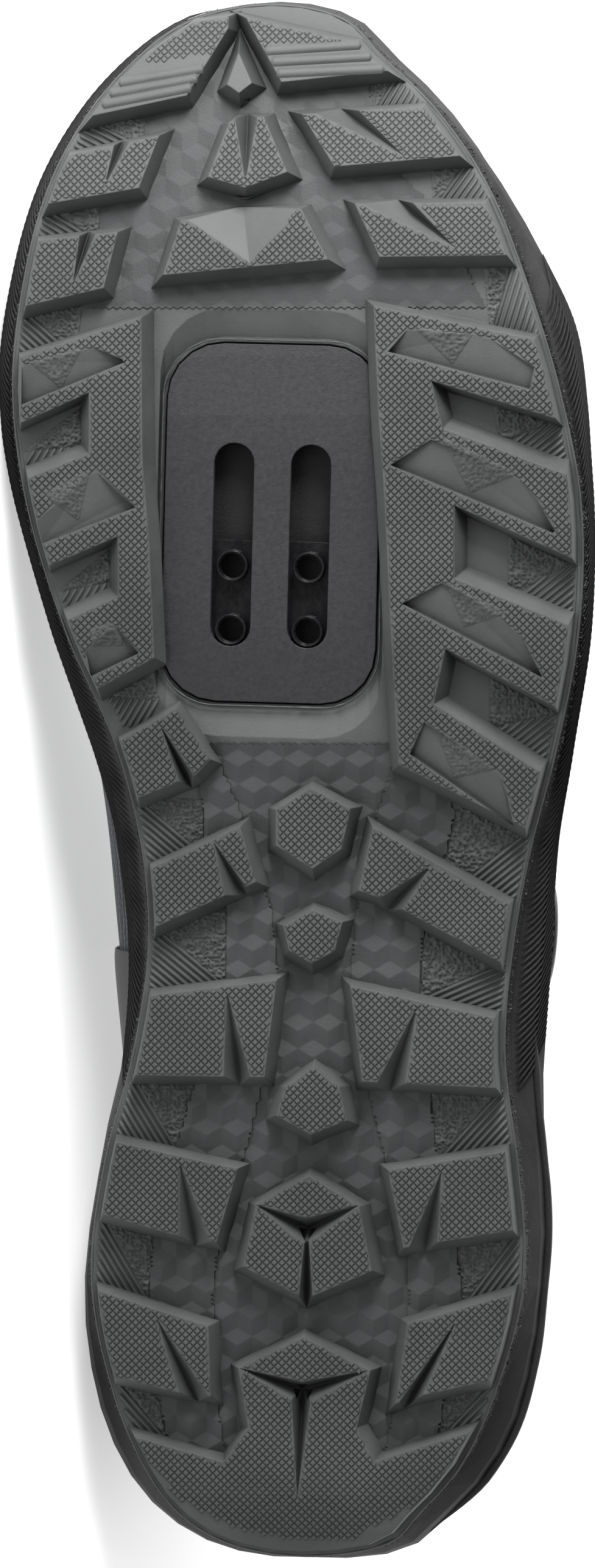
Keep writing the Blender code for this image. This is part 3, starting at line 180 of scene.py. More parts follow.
FLARE = Sections(
    ("along", "medial", "lateral"),
    (
        (0.000, 1.05, 1.05),
        (0.025, 1.65, 1.80),
        (0.065, 2.00, 2.20),
        (0.090, 1.95, 2.30),
        (0.130, 1.65, 1.90),
        (0.175, 1.10, 1.30),
        (0.220, 0.80, 1.50),
        (0.290, 0.92, 1.95),
        (0.320, 1.07, 2.40),
        (0.395, 1.80, 2.45),
        (0.430, 2.00, 2.05),
        (0.480, 2.00, 1.43),
        (0.535, 1.90, 0.93),
        (0.590, 1.30, 0.75),
        (0.650, 1.03, 0.68),
        (0.700, 1.15, 0.90),
        (0.740, 1.25, 1.50),
        (0.785, 1.25, 2.07),
        (0.830, 1.15, 1.57),
        (0.870, 1.05, 0.96),
        (0.925, 0.90, 0.54),
        (1.000, 0.36, 0.36),
    ),
)

UPPER = Sections(
    ("along", "bulge_medial", "bulge_lateral", "waist_medial", "waist_lateral",
     "brow_medial", "brow_lateral", "edge_medial", "edge_lateral", "height"),
    (
        (0.000, 0.000, 0.000, 0.000, 0.000, 0.000, 0.000, 0.000, 0.000, 0.860),
        (0.050, 0.480, 0.490, 0.450, 0.460, 0.435, 0.445, 0.455, 0.465, 0.830),
        (0.110, 0.590, 0.610, 0.540, 0.560, 0.520, 0.540, 0.550, 0.560, 0.760),
        (0.190, 0.635, 0.670, 0.580, 0.605, 0.560, 0.580, 0.590, 0.605, 0.665),
        (0.270, 0.640, 0.680, 0.605, 0.625, 0.570, 0.580, 0.590, 0.590, 0.665),
        (0.350, 0.685, 0.690, 0.655, 0.615, 0.580, 0.545, 0.525, 0.500, 0.800),
        (0.420, 0.730, 0.730, 0.695, 0.610, 0.555, 0.505, 0.370, 0.350, 1.000),
        (0.500, 0.765, 0.800, 0.715, 0.680, 0.560, 0.550, 0.330, 0.320, 0.870),
        (0.600, 0.870, 0.930, 0.800, 0.830, 0.575, 0.605, 0.290, 0.280, 0.690),
        (0.690, 0.950, 0.930, 0.865, 0.825, 0.600, 0.570, 0.240, 0.190, 0.570),
        (0.725, 0.955, 0.900, 0.865, 0.795, 0.600, 0.545, 0.160, 0.070, 0.540),
        (0.735, 0.955, 0.890, 0.865, 0.785, 0.595, 0.535, 0.060, -0.060, 0.530),
        (0.800, 0.930, 0.785, 0.825, 0.690, 0.560, 0.440, 0.090, -0.090, 0.480),
        (0.880, 0.850, 0.610, 0.735, 0.520, 0.500, 0.320, 0.110, -0.110, 0.415),
        (0.940, 0.670, 0.385, 0.570, 0.305, 0.400, 0.170, 0.125, -0.125, 0.335),
        (0.975, 0.515, 0.190, 0.430, 0.115, 0.310, 0.010, 0.130, -0.130, 0.255),
        (1.000, 0.130, -0.130, 0.130, -0.130, 0.130, -0.130, 0.130, -0.130, 0.175),
    ),
)
LEVELS = (
    ("bulge", 0.24, 0.20, 0.12),
    ("waist", 0.52, 0.40, 0.32),
    ("brow", 0.80, 0.90, 0.62),
    ("edge", 1.00, 1.00, 1.00),
)


# ---------------------------------------------------------------- the shoe's frame

def place(across, along):
    """Plan point from its shares."""
    return Vector((-across * BALL_HALF_WIDTH, along * SHOE_LENGTH))


def shares(x, y):
    """Shares across and along of a plan point."""
    return -x / BALL_HALF_WIDTH, y / SHOE_LENGTH


def rise(y):
    """Height of the tread above the ground at a distance from the heel."""
    along = y / SHOE_LENGTH
    if along < HEEL_FLAT_START:
        return HEEL_BEVEL * min((1.0 - along / HEEL_FLAT_START) ** 2, HEEL_RISE_LIMIT)
    if ARCH_START < along < ARCH_END:
        return ARCH_RISE * math.sin(math.pi * (along - ARCH_START) / (ARCH_END - ARCH_START)) ** 2
    if along > SPRING_START:
        return TOE_SPRING * ((along - SPRING_START) / (1.0 - SPRING_START)) ** 2
    return 0.0


def stack(y):
    """Thickness of the midsole at a distance from the heel."""
    share = min(max((STACK_THIN - y / SHOE_LENGTH) / (STACK_THIN - STACK_FULL), 0.0), 1.0)
    return FOREFOOT_STACK + (HEEL_STACK - FOREFOOT_STACK) * share * share * (3.0 - 2.0 * share)


def seat(y):
    """Height above the ground of the seat on which upper and insole stand."""
    return rise(y) + MIDSOLE_BASE + stack(y)


def shoe_to_world():
    """Turn and place of the shoe's frame, read from two mounts on its tread."""
    mounts = {mount["name"]: mount for mount in frame["record"]["mounts"]}
    fore = Vector(mounts["forefoot_tread"]["pos_m"])
    heel = Vector(mounts["heel_tread"]["pos_m"])
    up = -Vector(mounts["forefoot_tread"]["axis"]).normalized()
    toe = fore - heel
    toe = (toe - up * toe.dot(up)).normalized()
    turn = Matrix((toe.cross(up), toe, up)).transposed()
    return Matrix.Translation(fore - turn @ place(*FOREFOOT_MOUNT).to_3d()) @ turn.to_4x4()


LAY = shoe_to_world()
STAND = LAY.inverted()


def edge_point(side, along, outset=0.0, flare=0.0):
    """Plan point of the sole's outline on one side, moved outwards."""
    sign = -1.0 if side == "medial" else 1.0
    low, high = max(along - OUTLINE_STEP, 0.0), min(along + OUTLINE_STEP, 1.0)
    run = place(sign * SOLE.at(side, high), high) - place(sign * SOLE.at(side, low), low)
    out = Vector((run.y, -run.x)).normalized() * -sign
    reach = outset + flare * WALL_OVERHANG * FLARE.at(side, along)
    return place(sign * SOLE.at(side, along), along) + out * reach


def table_at(rows, along, column):
    """Value of a short table at a share along, by straight lines."""
    for low, high in zip(rows, rows[1:]):
        if low[0] <= along <= high[0]:
            t = (along - low[0]) / (high[0] - low[0])
            return low[column] + (high[column] - low[column]) * t
    return None


def wall_point(side, along, share, lift=0.0):
    """Point of the midsole's wall at a share of its thickness, lifted outwards and down."""
    flat = edge_point(side, along, lift, table_at(WALL_PROFILE, share, 1))
    return Vector((flat.x, flat.y, rise(flat.y) + MIDSOLE_BASE + share * stack(flat.y) - lift * WALL_DROP))


def node_tree(name):
    """Search tree over a CAD node in the shoe's frame."""
    mesh = frame["nodes"][name].data
    verts = [STAND @ vert.co for vert in mesh.vertices]
    return BVHTree.FromPolygons(verts, [list(face.vertices) for face in mesh.polygons])


OUTSOLE = node_tree("outsole")
FLAT_DEPTH = 0.00045
ROOT_DEPTH = 0.0012
FLAT_COSINE = math.cos(math.radians(3.6))
HEEL_COSINE = math.cos(math.radians(12))


def depth_at(x, y):
    """Depth of the outsole's surface above the tread plane, or None beside it."""
    hit = OUTSOLE.ray_cast(Vector((x, y, RAY_START)), UP)[0]
    return None if hit is None else hit.z - rise(y)


def level_depth(x, y, highest, lowest, limit):
    """Depth where the surface runs level with the sole within a range of depths, otherwise None."""
    hit, normal, _, _ = OUTSOLE.ray_cast(Vector((x, y, RAY_START)), UP)
    if hit is None or not highest < hit.z - rise(y) < lowest:
        return None
    slope = (rise(y + SLOPE_STEP) - rise(y - SLOPE_STEP)) / (2 * SLOPE_STEP)
    lean = Vector((0.0, slope, -1.0)).normalized()
    return hit.z - rise(y) if abs(normal.dot(lean)) > limit else None


def flat_depth(x, y):
    """Depth on the flat of a lug, and None on slopes and below."""
    limit = HEEL_COSINE if y < HEEL_FLAT_START * SHOE_LENGTH else FLAT_COSINE
    return level_depth(x, y, -FLAT_DEPTH, FLAT_DEPTH, limit)


def web_level(x, y):
    """Level of the web's surface, also where a lug stands on it."""
    return level_depth(x, y, LUG_HEIGHT - ROOT_DEPTH, LUG_HEIGHT + FLAT_DEPTH, HEEL_COSINE) or LUG_HEIGHT


# ---------------------------------------------------------------- meshes

def make_piece(name, verts, faces, look, smooth=None):
    """Piece from points in the shoe's frame, pressed flat where the shoe lies on it, riding on the shoe."""
    mesh = bpy.data.meshes.new(name)
    laid = [LAY @ Vector(p) for p in verts]
    mesh.from_pydata([(p.x, p.y, max(p.z, 0.0)) for p in laid], [], faces)
    mesh.materials.append(look)
    bm = bmesh.new()
    bm.from_mesh(mesh)
    bmesh.ops.recalc_face_normals(bm, faces=bm.faces)
    bm.to_mesh(mesh)
    bm.free()
    if smooth is not None:
        mesh.shade_smooth()
        mesh.set_sharp_from_angle(angle=smooth)
    piece = bpy.data.objects.new(name, mesh)
    bpy.context.collection.objects.link(piece)
    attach(piece, "root")
    return piece


def lifted(p, depth):
    """Point of the sole built flat, lifted to the sole's rise."""
    return (p[0], p[1], depth + rise(p[1]))


def add_grid(faces, start, rows, columns, closed=False):
    """Faces between rows of points that were added one after the other."""
    for i in range(rows if closed else rows - 1):
        j = (i + 1) % rows
        for k in range(columns - 1):
            faces.append((start + i * columns + k, start + j * columns + k,
                          start + j * columns + k + 1, start + i * columns + k + 1))


def turn_angles(count, shift=0.0):
    """Equal steps of angle round a full turn."""
    return [2 * math.pi * (k + shift) / count for k in range(count)]


def add_tube(verts, faces, path, radius, sides=8, closed=False, ups=None):
    """Round tube along points, with tapering radii if they are listed."""
    start, count = len(verts), len(path)
    for i, point in enumerate(path):
        after = path[(i + 1) % count] if closed else path[min(i + 1, count - 1)]
        before = path[i - 1] if closed or i else path[0]
        run = (after - before).normalized()
        side = run.cross(ups[i] if ups else UP).normalized()
        lift = side.cross(run)
        size = radius[i] if isinstance(radius, (list, tuple)) else radius
        verts += [point + side * math.cos(angle) * size + lift * math.sin(angle) * size
                  for angle in turn_angles(sides)]
    for i in range(count if closed else count - 1):
        here, there = start + i * sides, start + (i + 1) % count * sides
        for k in range(sides):
            m = (k + 1) % sides
            faces.append((here + k, here + m, there + m, there + k))
    if not closed:
        faces.append(tuple(range(start, start + sides)))
        faces.append(tuple(range(start + (count - 1) * sides, start + count * sides)))


def plan_sides(plan):
    """Corners of a convex plan, each with the inward direction of the side that ends there."""
    area = sum(plan[i - 1].cross(plan[i]) for i in range(len(plan)))
    sides = []
    for i, corner in enumerate(plan):
        run = (corner - plan[i - 1]).normalized()
        sides.append((corner, Vector((-run.y, run.x)) * (1.0 if area > 0 else -1.0)))
    return sides


PARALLEL = 1e-12


def clip_line(plan, point, direction):
    """Part of a line inside a convex plan, as two shares along it, or None."""
    low, high = -1.0, 1.0
    for corner, inward in plan_sides(plan):
        rate, gap = direction.dot(inward), (point - corner).dot(inward)
        if abs(rate) < PARALLEL:
            if gap < 0:
                return None
        elif rate > 0:
            low = max(low, -gap / rate)
        else:
            high = min(high, -gap / rate)
    return (low, high) if low < high else None


def inside_depth(plan, point):
    """Distance of a point inside a convex plan from its nearest side, negative outside."""
    return min((point - corner).dot(inward) for corner, inward in plan_sides(plan))


# ---------------------------------------------------------------- materials

def material(name, colour, roughness, metallic=0.0):
    """New node material with its shader, ready for links."""
    made = bpy.data.materials.new(name)
    made.use_nodes = True
    shader = made.node_tree.nodes["Principled BSDF"]
    shader.inputs["Base Color"].default_value = (*colour, 1.0)
    shader.inputs["Roughness"].default_value = roughness
    shader.inputs["Metallic"].default_value = metallic
    return made, made.node_tree.nodes, made.node_tree.links, shader


def add(nodes, kind, **values):
    """New node with its inputs or properties set by name."""
    node = nodes.new("ShaderNode" + kind)
    for key, value in values.items():
        socket = node.inputs.get(key.replace("_", " "))
        if socket is not None:
            socket.default_value = value
        else:
            setattr(node, key, value)
    return node


def grain(nodes, links, shader, scale, strength, distance, edge=0.0):
    """Fine bump on a shader, over a bevelled normal where an edge radius is given."""
    place_at = nodes.new("ShaderNodeTexCoord")
    texture = add(nodes, "TexNoise", Scale=scale, Detail=4.0, Roughness=0.65)
    bump = add(nodes, "Bump", Strength=strength, Distance=distance)
    links.new(place_at.outputs["Object"], texture.inputs["Vector"])
    links.new(texture.outputs["Fac"], bump.inputs["Height"])
    if edge:
        bevel = add(nodes, "Bevel", samples=4, Radius=edge)
        links.new(bevel.outputs["Normal"], bump.inputs["Normal"])
    links.new(bump.outputs["Normal"], shader.inputs["Normal"])
    return place_at


def ramp_between(nodes, *stops):
    """Colour ramp between two stops, each a position and a colour."""
    ramp = nodes.new("ShaderNodeValToRGB")
    for element, (position, colour) in zip(ramp.color_ramp.elements, stops):
        element.position = position
        element.color = (*colour, 1.0)
    return ramp


def mottle_and_painted_shade(nodes, links, shader, place_at, scale, low, high, rough=None, reach=0.0, shade=1.0, closed=0.25):
    """Colour that drifts between two values, with painted shade: where a reach is given, ambient occlusion
    darkens it where the surface is enclosed.
    """
    texture = add(nodes, "TexNoise", Scale=scale, Detail=6.0, Roughness=0.6)
    ramp = ramp_between(nodes, (0.35, low), (0.68, high))
    links.new(place_at.outputs["Object"], texture.inputs["Vector"])
    links.new(texture.outputs["Fac"], ramp.inputs["Fac"])
    links.new(ramp.outputs["Color"], shader.inputs["Base Color"])
    if rough:
        spread = add(nodes, "MapRange", From_Min=0.3, From_Max=0.7, To_Min=rough[0], To_Max=rough[1])
        links.new(texture.outputs["Fac"], spread.inputs["Value"])
        links.new(spread.outputs["Result"], shader.inputs["Roughness"])
    if reach:
        # Painted shade: ambient occlusion darkens the base colour in corners, recesses and hollows
        enclosed = add(nodes, "AmbientOcclusion", samples=4, Distance=reach)
        painted_shade = add(nodes, "MapRange", From_Min=closed, From_Max=0.95, To_Min=shade, To_Max=1.0)
        mix = add(nodes, "Mix", data_type="RGBA", blend_type="MULTIPLY")
        mix.inputs["Factor"].default_value = 1.0
        links.new(ramp.outputs["Color"], mix.inputs[6])
        links.new(enclosed.outputs["AO"], painted_shade.inputs["Value"])
        links.new(painted_shade.outputs["Result"], mix.inputs[7])
        links.new(mix.outputs[2], shader.inputs["Base Color"])


def moulded(name, colour, roughness, fine, drift_and_shade, specular=0.5, metallic=0.0):
    """Material with a fine grain, a drifting tone and, where a reach is given, painted shade in enclosed
    places, from the settings of each.
    """
    made, nodes, links, shader = material(name, colour, roughness, metallic)
    place_at = grain(nodes, links, shader, *fine)
    mottle_and_painted_shade(nodes, links, shader, place_at, *drift_and_shade)
    shader.inputs["Specular IOR Level"].default_value = specular
    return made


def rubber_material(name, low, high, shade):
    """Moulded rubber with painted shade in its corners and recesses, and softened edges."""
    return moulded(name, low, 0.6, (2600.0, 0.35, 0.0002, 0.0004),
                   (60.0, low, high, (0.52, 0.70), 0.004, shade), 0.4)


def plain_material(name, low, high, scale, rough):
    """Colour with a fine mottle and grain."""
    return moulded(name, low, rough, (scale, 0.3, 0.0001, 0.0002), (scale / 4, low, high))


def cloth_material(name, low, high, pitch):
    """Knit of small raised cells."""
    made, nodes, links, shader = material(name, low, 0.85)
    place_at = nodes.new("ShaderNodeTexCoord")
    scaled = add(nodes, "Mapping")
    scaled.inputs["Scale"].default_value = (1.0 / pitch, 1.0 / pitch, 1.0 / pitch)
    cells = add(nodes, "TexVoronoi", Scale=1.0, Randomness=0.25, feature="F1")
    ramp = ramp_between(nodes, (0.15, high), (0.62, low))
    bump = add(nodes, "Bump", Strength=0.8, Distance=pitch * 0.4, invert=True)
    links.new(place_at.outputs["Object"], scaled.inputs["Vector"])
    links.new(scaled.outputs["Vector"], cells.inputs["Vector"])
    links.new(cells.outputs["Distance"], ramp.inputs["Fac"])
    links.new(cells.outputs["Distance"], bump.inputs["Height"])
    links.new(ramp.outputs["Color"], shader.inputs["Base Color"])
    links.new(bump.outputs["Normal"], shader.inputs["Normal"])
    shader.inputs["Sheen Weight"].default_value = 0.25
    shader.inputs["Sheen Roughness"].default_value = 0.5
    return made


# Rubbers: two colours of the drifting tone, then the tone of painted shade in their corners and recesses
RUBBER = rubber_material("outsole_rubber_look", (0.048, 0.050, 0.050), (0.070, 0.072, 0.072), 0.14)
# The web's rubber is darker than the tread's, partly as the unworn web's own deeper black and partly as
# painted shade of the recesses between the lugs
UNWORN_AND_SHADED_WEB_RUBBER = rubber_material("unworn_and_shaded_web_rubber_look", (0.025, 0.0265, 0.027), (0.038, 0.040, 0.041), 0.14)
FLOOR_RUBBER = rubber_material("floor_rubber_look", (0.044, 0.046, 0.046), (0.066, 0.068, 0.068), 0.45)

# Moulded foam, near-black nylon, blackened steel and matt film in warm grey: colour, roughness,
# grain (scale, strength, depth, edge radius), drift (scale, two colours, roughness, then the reach, tone and
# threshold of painted shade) and shine. The foam's painted shade is strong, near black where it is enclosed,
# as under the plate's slots
MIDSOLE = moulded("midsole_look", (0.024, 0.024, 0.025), 0.65, (1500.0, 0.35, 0.0003, 0.0004),
                  (90.0, (0.016, 0.016, 0.017), (0.032, 0.031, 0.032), (0.55, 0.75), 0.010, 0.02, 0.6), 0.3)
PLATE = moulded("cleat_plate_look", (0.016, 0.016, 0.018), 0.55, (2200.0, 0.4, 0.0002, 0.0003),
                (1200.0, (0.012, 0.012, 0.0135), (0.020, 0.020, 0.0225), (0.42, 0.60)), 0.4)
STEEL = moulded("cleat_nut_look", (0.004, 0.004, 0.005), 0.30, (700.0, 0.2, 0.0004, 0.0003),
                (400.0, (0.003, 0.003, 0.004), (0.010, 0.010, 0.011), (0.22, 0.38)), 0.15, 0.1)
FILM = moulded("overlay_film_look", (0.06, 0.061, 0.063), 0.42, (900.0, 0.25, 0.0002),
               (40.0, (0.050, 0.051, 0.053), (0.068, 0.069, 0.071), (0.38, 0.50)))

PLASTIC = plain_material("dial_look", (0.014, 0.014, 0.015), (0.024, 0.024, 0.026), 1500.0, 0.38)
CABLE = plain_material("cable_look", (0.020, 0.020, 0.022), (0.060, 0.060, 0.062), 5000.0, 0.45)
THREAD = plain_material("thread_look", (0.030, 0.032, 0.040), (0.055, 0.058, 0.068), 4000.0, 0.7)
SPECK = plain_material("edge_speck_look", (0.045, 0.045, 0.046), (0.130, 0.130, 0.128), 900.0, 0.6)
MESH_CLOTH = cloth_material("upper_look", (0.010, 0.012, 0.020), (0.034, 0.040, 0.058), 0.0011)
TONGUE_CLOTH = cloth_material("tongue_look", (0.010, 0.011, 0.015), (0.028, 0.030, 0.038), 0.0016)
LINING = cloth_material("lining_look", (0.012, 0.012, 0.014), (0.030, 0.030, 0.033), 0.0007)
BINDING = cloth_material("binding_look", (0.014, 0.014, 0.016), (0.036, 0.036, 0.040), 0.0005)

# Looks of the CAD nodes that stay in the picture
STAYING = {"outsole": RUBBER, "midsole": MIDSOLE, "cleat_plate": PLATE, "cleat_nut": STEEL,
           "lace_cable": CABLE, "dial_base": FILM, "dial_knob": PLASTIC}
STAYING.update(("lace_guide_%s_%d" % (side, number), PLASTIC) for side in SIDES for number in range(1, 5))
for node_name, node_look in STAYING.items():
    materials = frame["nodes"][node_name].data.materials
    materials.clear()
    materials.append(node_look)


# ---------------------------------------------------------------- tread pads

PAD_PITCH = 0.000995
PAD_HEIGHT = 0.00015
PAD_REACH = 0.00066
PAD_BEVEL = 0.00014
PAD_LEAST = 0.00030
PAD_MARGIN = 0.0001
PAD_SINK = 0.00004
PAD_TRIES = 4
PAD_COLUMNS = 80

# Edge of the pads on the heel and the toe blocks, where each applies, and the channel between the blocks
HEEL_PADS = ((-0.56, 0.078), (-0.50, 0.062), (-0.45, 0.052), (-0.40, 0.0395), (-0.31, 0.030), (-0.20, 0.020),
             (0.00, 0.013), (0.19, 0.0145), (0.25, 0.023), (0.33, 0.031), (0.40, 0.040), (0.45, 0.050),
             (0.50, 0.060), (0.56, 0.078))
TOE_PADS = ((-0.80, 0.957), (-0.60, 0.960), (-0.35, 0.9675), (-0.22, 0.9720), (-0.14, 0.9735),
            (0.15, 0.9765), (0.40, 0.9780))
HEEL_PADS_END = 0.08
BLOCK_SPLIT = -0.25
LEFT_BLOCK_START = 0.915
RIGHT_BLOCK_START = 0.9395
CHANNEL = ((-0.275, 0.938), (-0.17, 0.972))


def wants_pad(across, along):
    """Whether the tread carries pads there."""
    (left, rear), (right, front) = CHANNEL
    if left < across < right and rear < along < front:
        return False
    block_start = LEFT_BLOCK_START if across < BLOCK_SPLIT else RIGHT_BLOCK_START
    if HEEL_PADS_END <= along <= block_start:
        return True
    limit = table_at(HEEL_PADS if along < HEEL_PADS_END else TOE_PADS, across, 1)
    return limit is not None and along > limit


def flat_reach(x, y, dx, dy):
    """How far a pad's corner can stand from its middle on the flat of a lug."""
    reach = PAD_REACH + PAD_MARGIN
    for _ in range(PAD_TRIES):
        if flat_depth(x + dx * reach, y + dy * reach) is not None:
            return min(reach, PAD_REACH)
        reach /= 2
    return 0.0


def build_pads():
    """Small diamonds on every flat stretch of the tread, cut short at its edges."""
    verts, faces = [], []
    step = PAD_PITCH * math.sqrt(2) / 2
    corners = ((1, 0), (0, 1), (-1, 0), (0, -1))
    for row in range(int(SHOE_LENGTH / step) + 1):
        for column in range(-PAD_COLUMNS, PAD_COLUMNS):
            x, y = column * step, row * step
            if (row + column) % 2 or not wants_pad(*shares(x, y)):
                continue
            depth = flat_depth(x, y)
            if depth is None:
                continue
            reaches = [flat_reach(x, y, dx, dy) for dx, dy in corners]
            if min(reaches) < PAD_LEAST / 2 or sum(reaches) < 4 * PAD_LEAST:
                continue
            start = len(verts)
            for inset, level in ((0.0, depth + PAD_SINK), (PAD_BEVEL, depth - PAD_HEIGHT)):
                verts += [lifted((x + dx * (r - inset), y + dy * (r - inset)), level)
                          for (dx, dy), r in zip(corners, reaches)]
            for k in range(4):
                j = (k + 1) % 4
                faces.append((start + k, start + j, start + 4 + j, start + 4 + k))
            faces.append((start + 4, start + 5, start + 6, start + 7))
            faces.append((start + 3, start + 2, start + 1, start))
    make_piece("tread_pads", verts, faces, RUBBER)


# ---------------------------------------------------------------- relief between the lugs

# Share along, then across: left edge, left step, right step and right edge of the smooth web
REAR_WEB = (
    (0.055, -0.440, -0.235, 0.275, 0.450), (0.080, -0.450, -0.262, 0.302, 0.467),
    (0.105, -0.480, -0.282, 0.330, 0.490), (0.169, -0.510, -0.294, 0.372, 0.550),
    (0.204, -0.496, -0.275, 0.362, 0.530), (0.268, -0.415, -0.175, 0.279, 0.460),
    (0.305, -0.355, -0.129, 0.232, 0.437), (0.370, -0.250, -0.072, 0.171, 0.404),
    (0.418, -0.250, -0.098, 0.189, 0.417), (0.455, -0.330, -0.165, 0.225, 0.490),
    (0.482, -0.330, -0.207, 0.262, 0.520), (0.524, -0.360, -0.300, 0.330, 0.420),
)
TOE_WEB = [(along, left, -0.800, 0.900, right) for along, left, right in (
    (0.803, -0.760, 0.620), (0.848, -0.700, 0.500), (0.870, -0.680, 0.430), (0.900, -0.560, 0.260),
    (0.935, -0.530, 0.225), (0.955, -0.450, 0.200), (0.988, -0.300, -0.150),
)]
CUBE_SIDE = 0.0032
REAR_RELIEF = 0.00028
TOE_RELIEF = 0.00015
CUBE_PARTS = 4
CUBE_LEVELS = (1.0, 0.0, -1.0)
CUBE_ORIGIN = (0.045, 0.29)
CUBE_SPREAD = 1.2
SIDE_STEP = 0.00030
WEB_CLEAR = 0.00006
WEB_HIGHEST = 0.0022
WEB_LOWEST = LUG_HEIGHT + 0.0004


def build_web(name, rows, relief):
    """Field of low tumbling blocks over the smooth web between the lugs, a little higher at its sides."""
    origin = place(*CUBE_ORIGIN)
    right = Vector((math.sqrt(3) / 2, 0.5)) * CUBE_SIDE
    up = Vector((0.0, 1.0)) * CUBE_SIDE
    verts, faces, index = [], [], {}

    def vertex(i, j, raised):
        """Shared vertex of the fine lattice, its height by straight lines between the blocks' corners."""
        if (i, j, raised) not in index:
            point = origin + (right * i + up * j) / CUBE_PARTS
            ci, cj = i // CUBE_PARTS, j // CUBE_PARTS
            s, t = i / CUBE_PARTS - ci, j / CUBE_PARTS - cj
            here, beside, above = [CUBE_LEVELS[k % 3] for k in (ci - cj, ci + 1 - cj, ci - cj - 1)]
            if s + t <= 1:
                height = here + s * (beside - here) + t * (above - here)
            else:
                height = here + (1 - s) * (above - here) + (1 - t) * (beside - here)
            step = SIDE_STEP if raised else 0.0
            level = web_level(point.x, point.y) - WEB_CLEAR - relief * (1 + height) - step
            index[i, j, raised] = len(verts)
            verts.append(lifted(point, level))
        return index[i, j, raised]

    reach = int(CUBE_SPREAD * BALL_HALF_WIDTH / right.x * CUBE_PARTS)
    for i in range(-reach, reach):
        shift = origin.y + right.y * i / CUBE_PARTS
        low, high = [int((row[0] * SHOE_LENGTH - shift) / CUBE_SIDE * CUBE_PARTS)
                     for row in (rows[0], rows[-1])]
        for j in range(low, high + 1):
            for corners in (((i, j), (i + 1, j), (i, j + 1)), ((i + 1, j), (i + 1, j + 1), (i, j + 1))):
                middle = sum((right * a + up * b for a, b in corners), Vector((0, 0)))
                middle = origin + middle / (3 * CUBE_PARTS)
                across, along = shares(middle.x, middle.y)
                limits = [table_at(rows, along, k) for k in (1, 2, 3, 4)]
                if limits[0] is None or not limits[0] < across < limits[3]:
                    continue
                depth = depth_at(middle.x, middle.y)
                if depth is None or not WEB_HIGHEST < depth < WEB_LOWEST:
                    continue
                raised = not limits[1] < across < limits[2]
                faces.append([vertex(a, b, raised) for a, b in corners])
    make_piece(name, verts, faces, UNWORN_AND_SHADED_WEB_RUBBER)


# Open floors at the outline: inner line above and below, and the outer corners' shares along
GAPS = (
    ("medial", (-0.330, 0.488), (-0.330, 0.452), 0.490, 0.445),
    ("medial", (-0.250, 0.418), (-0.250, 0.368), 0.4075, 0.364),
    ("medial", (-0.355, 0.310), (-0.415, 0.262), 0.3128, 0.270),
    ("medial", (-0.496, 0.215), (-0.510, 0.167), 0.223, 0.174),
    ("medial", (-0.480, 0.110), (-0.450, 0.076), 0.1185, 0.080),
    ("medial", (-0.545, 0.926), (-0.560, 0.908), 0.927, 0.9015),
    ("medial", (-0.680, 0.870), (-0.700, 0.848), 0.870, 0.8467),
    ("medial", (-0.740, 0.805), (-0.760, 0.772), 0.8044, 0.772),
    ("lateral", (0.520, 0.490), (0.475, 0.425), 0.472, 0.4235),
    ("lateral", (0.417, 0.405), (0.404, 0.362), 0.3865, 0.3514),
    ("lateral", (0.437, 0.305), (0.460, 0.258), 0.3065, 0.2661),
    ("lateral", (0.530, 0.205), (0.550, 0.165), 0.2156, 0.175),
    ("lateral", (0.490, 0.108), (0.467, 0.078), 0.119, 0.0862),
    ("lateral", (0.225, 0.955), (0.235, 0.932), 0.9555, 0.932),
    ("lateral", (0.430, 0.896), (0.440, 0.868), 0.900, 0.870),
    ("lateral", (0.610, 0.832), (0.640, 0.788), 0.8362, 0.783),
)

# Pockets in the rails: pebbled triangle, ribbed corners and the ribs' slope in the plan
POCKET_FLOORS = (
    (((-0.700, 0.745), (-0.965, 0.712), (-0.700, 0.716)),
     ((-0.965, 0.712), (-0.700, 0.716), (-0.700, 0.705), (-0.965, 0.686)), 60),
    (((-0.602, 0.655), (-0.870, 0.622), (-0.602, 0.630)),
     ((-0.870, 0.622), (-0.640, 0.628), (-0.602, 0.616), (-0.830, 0.588)), 60),
    (((-0.501, 0.568), (-0.663, 0.5557), (-0.477, 0.5525)),
     ((-0.663, 0.5557), (-0.477, 0.5525), (-0.500, 0.5350), (-0.600, 0.5350)), 60),
    (((0.648, 0.746), (0.905, 0.733), (0.672, 0.7165)),
     ((0.672, 0.7165), (0.915, 0.733), (0.925, 0.697), (0.790, 0.703)), 40),
    (((0.705, 0.662), (0.930, 0.643), (0.700, 0.619)),
     ((0.700, 0.619), (0.935, 0.643), (0.935, 0.600), (0.800, 0.606)), 40),
    (((0.640, 0.570), (0.905, 0.546), (0.640, 0.535)),
     ((0.640, 0.535), (0.905, 0.546), (0.850, 0.498), (0.740, 0.510)), 40),
)

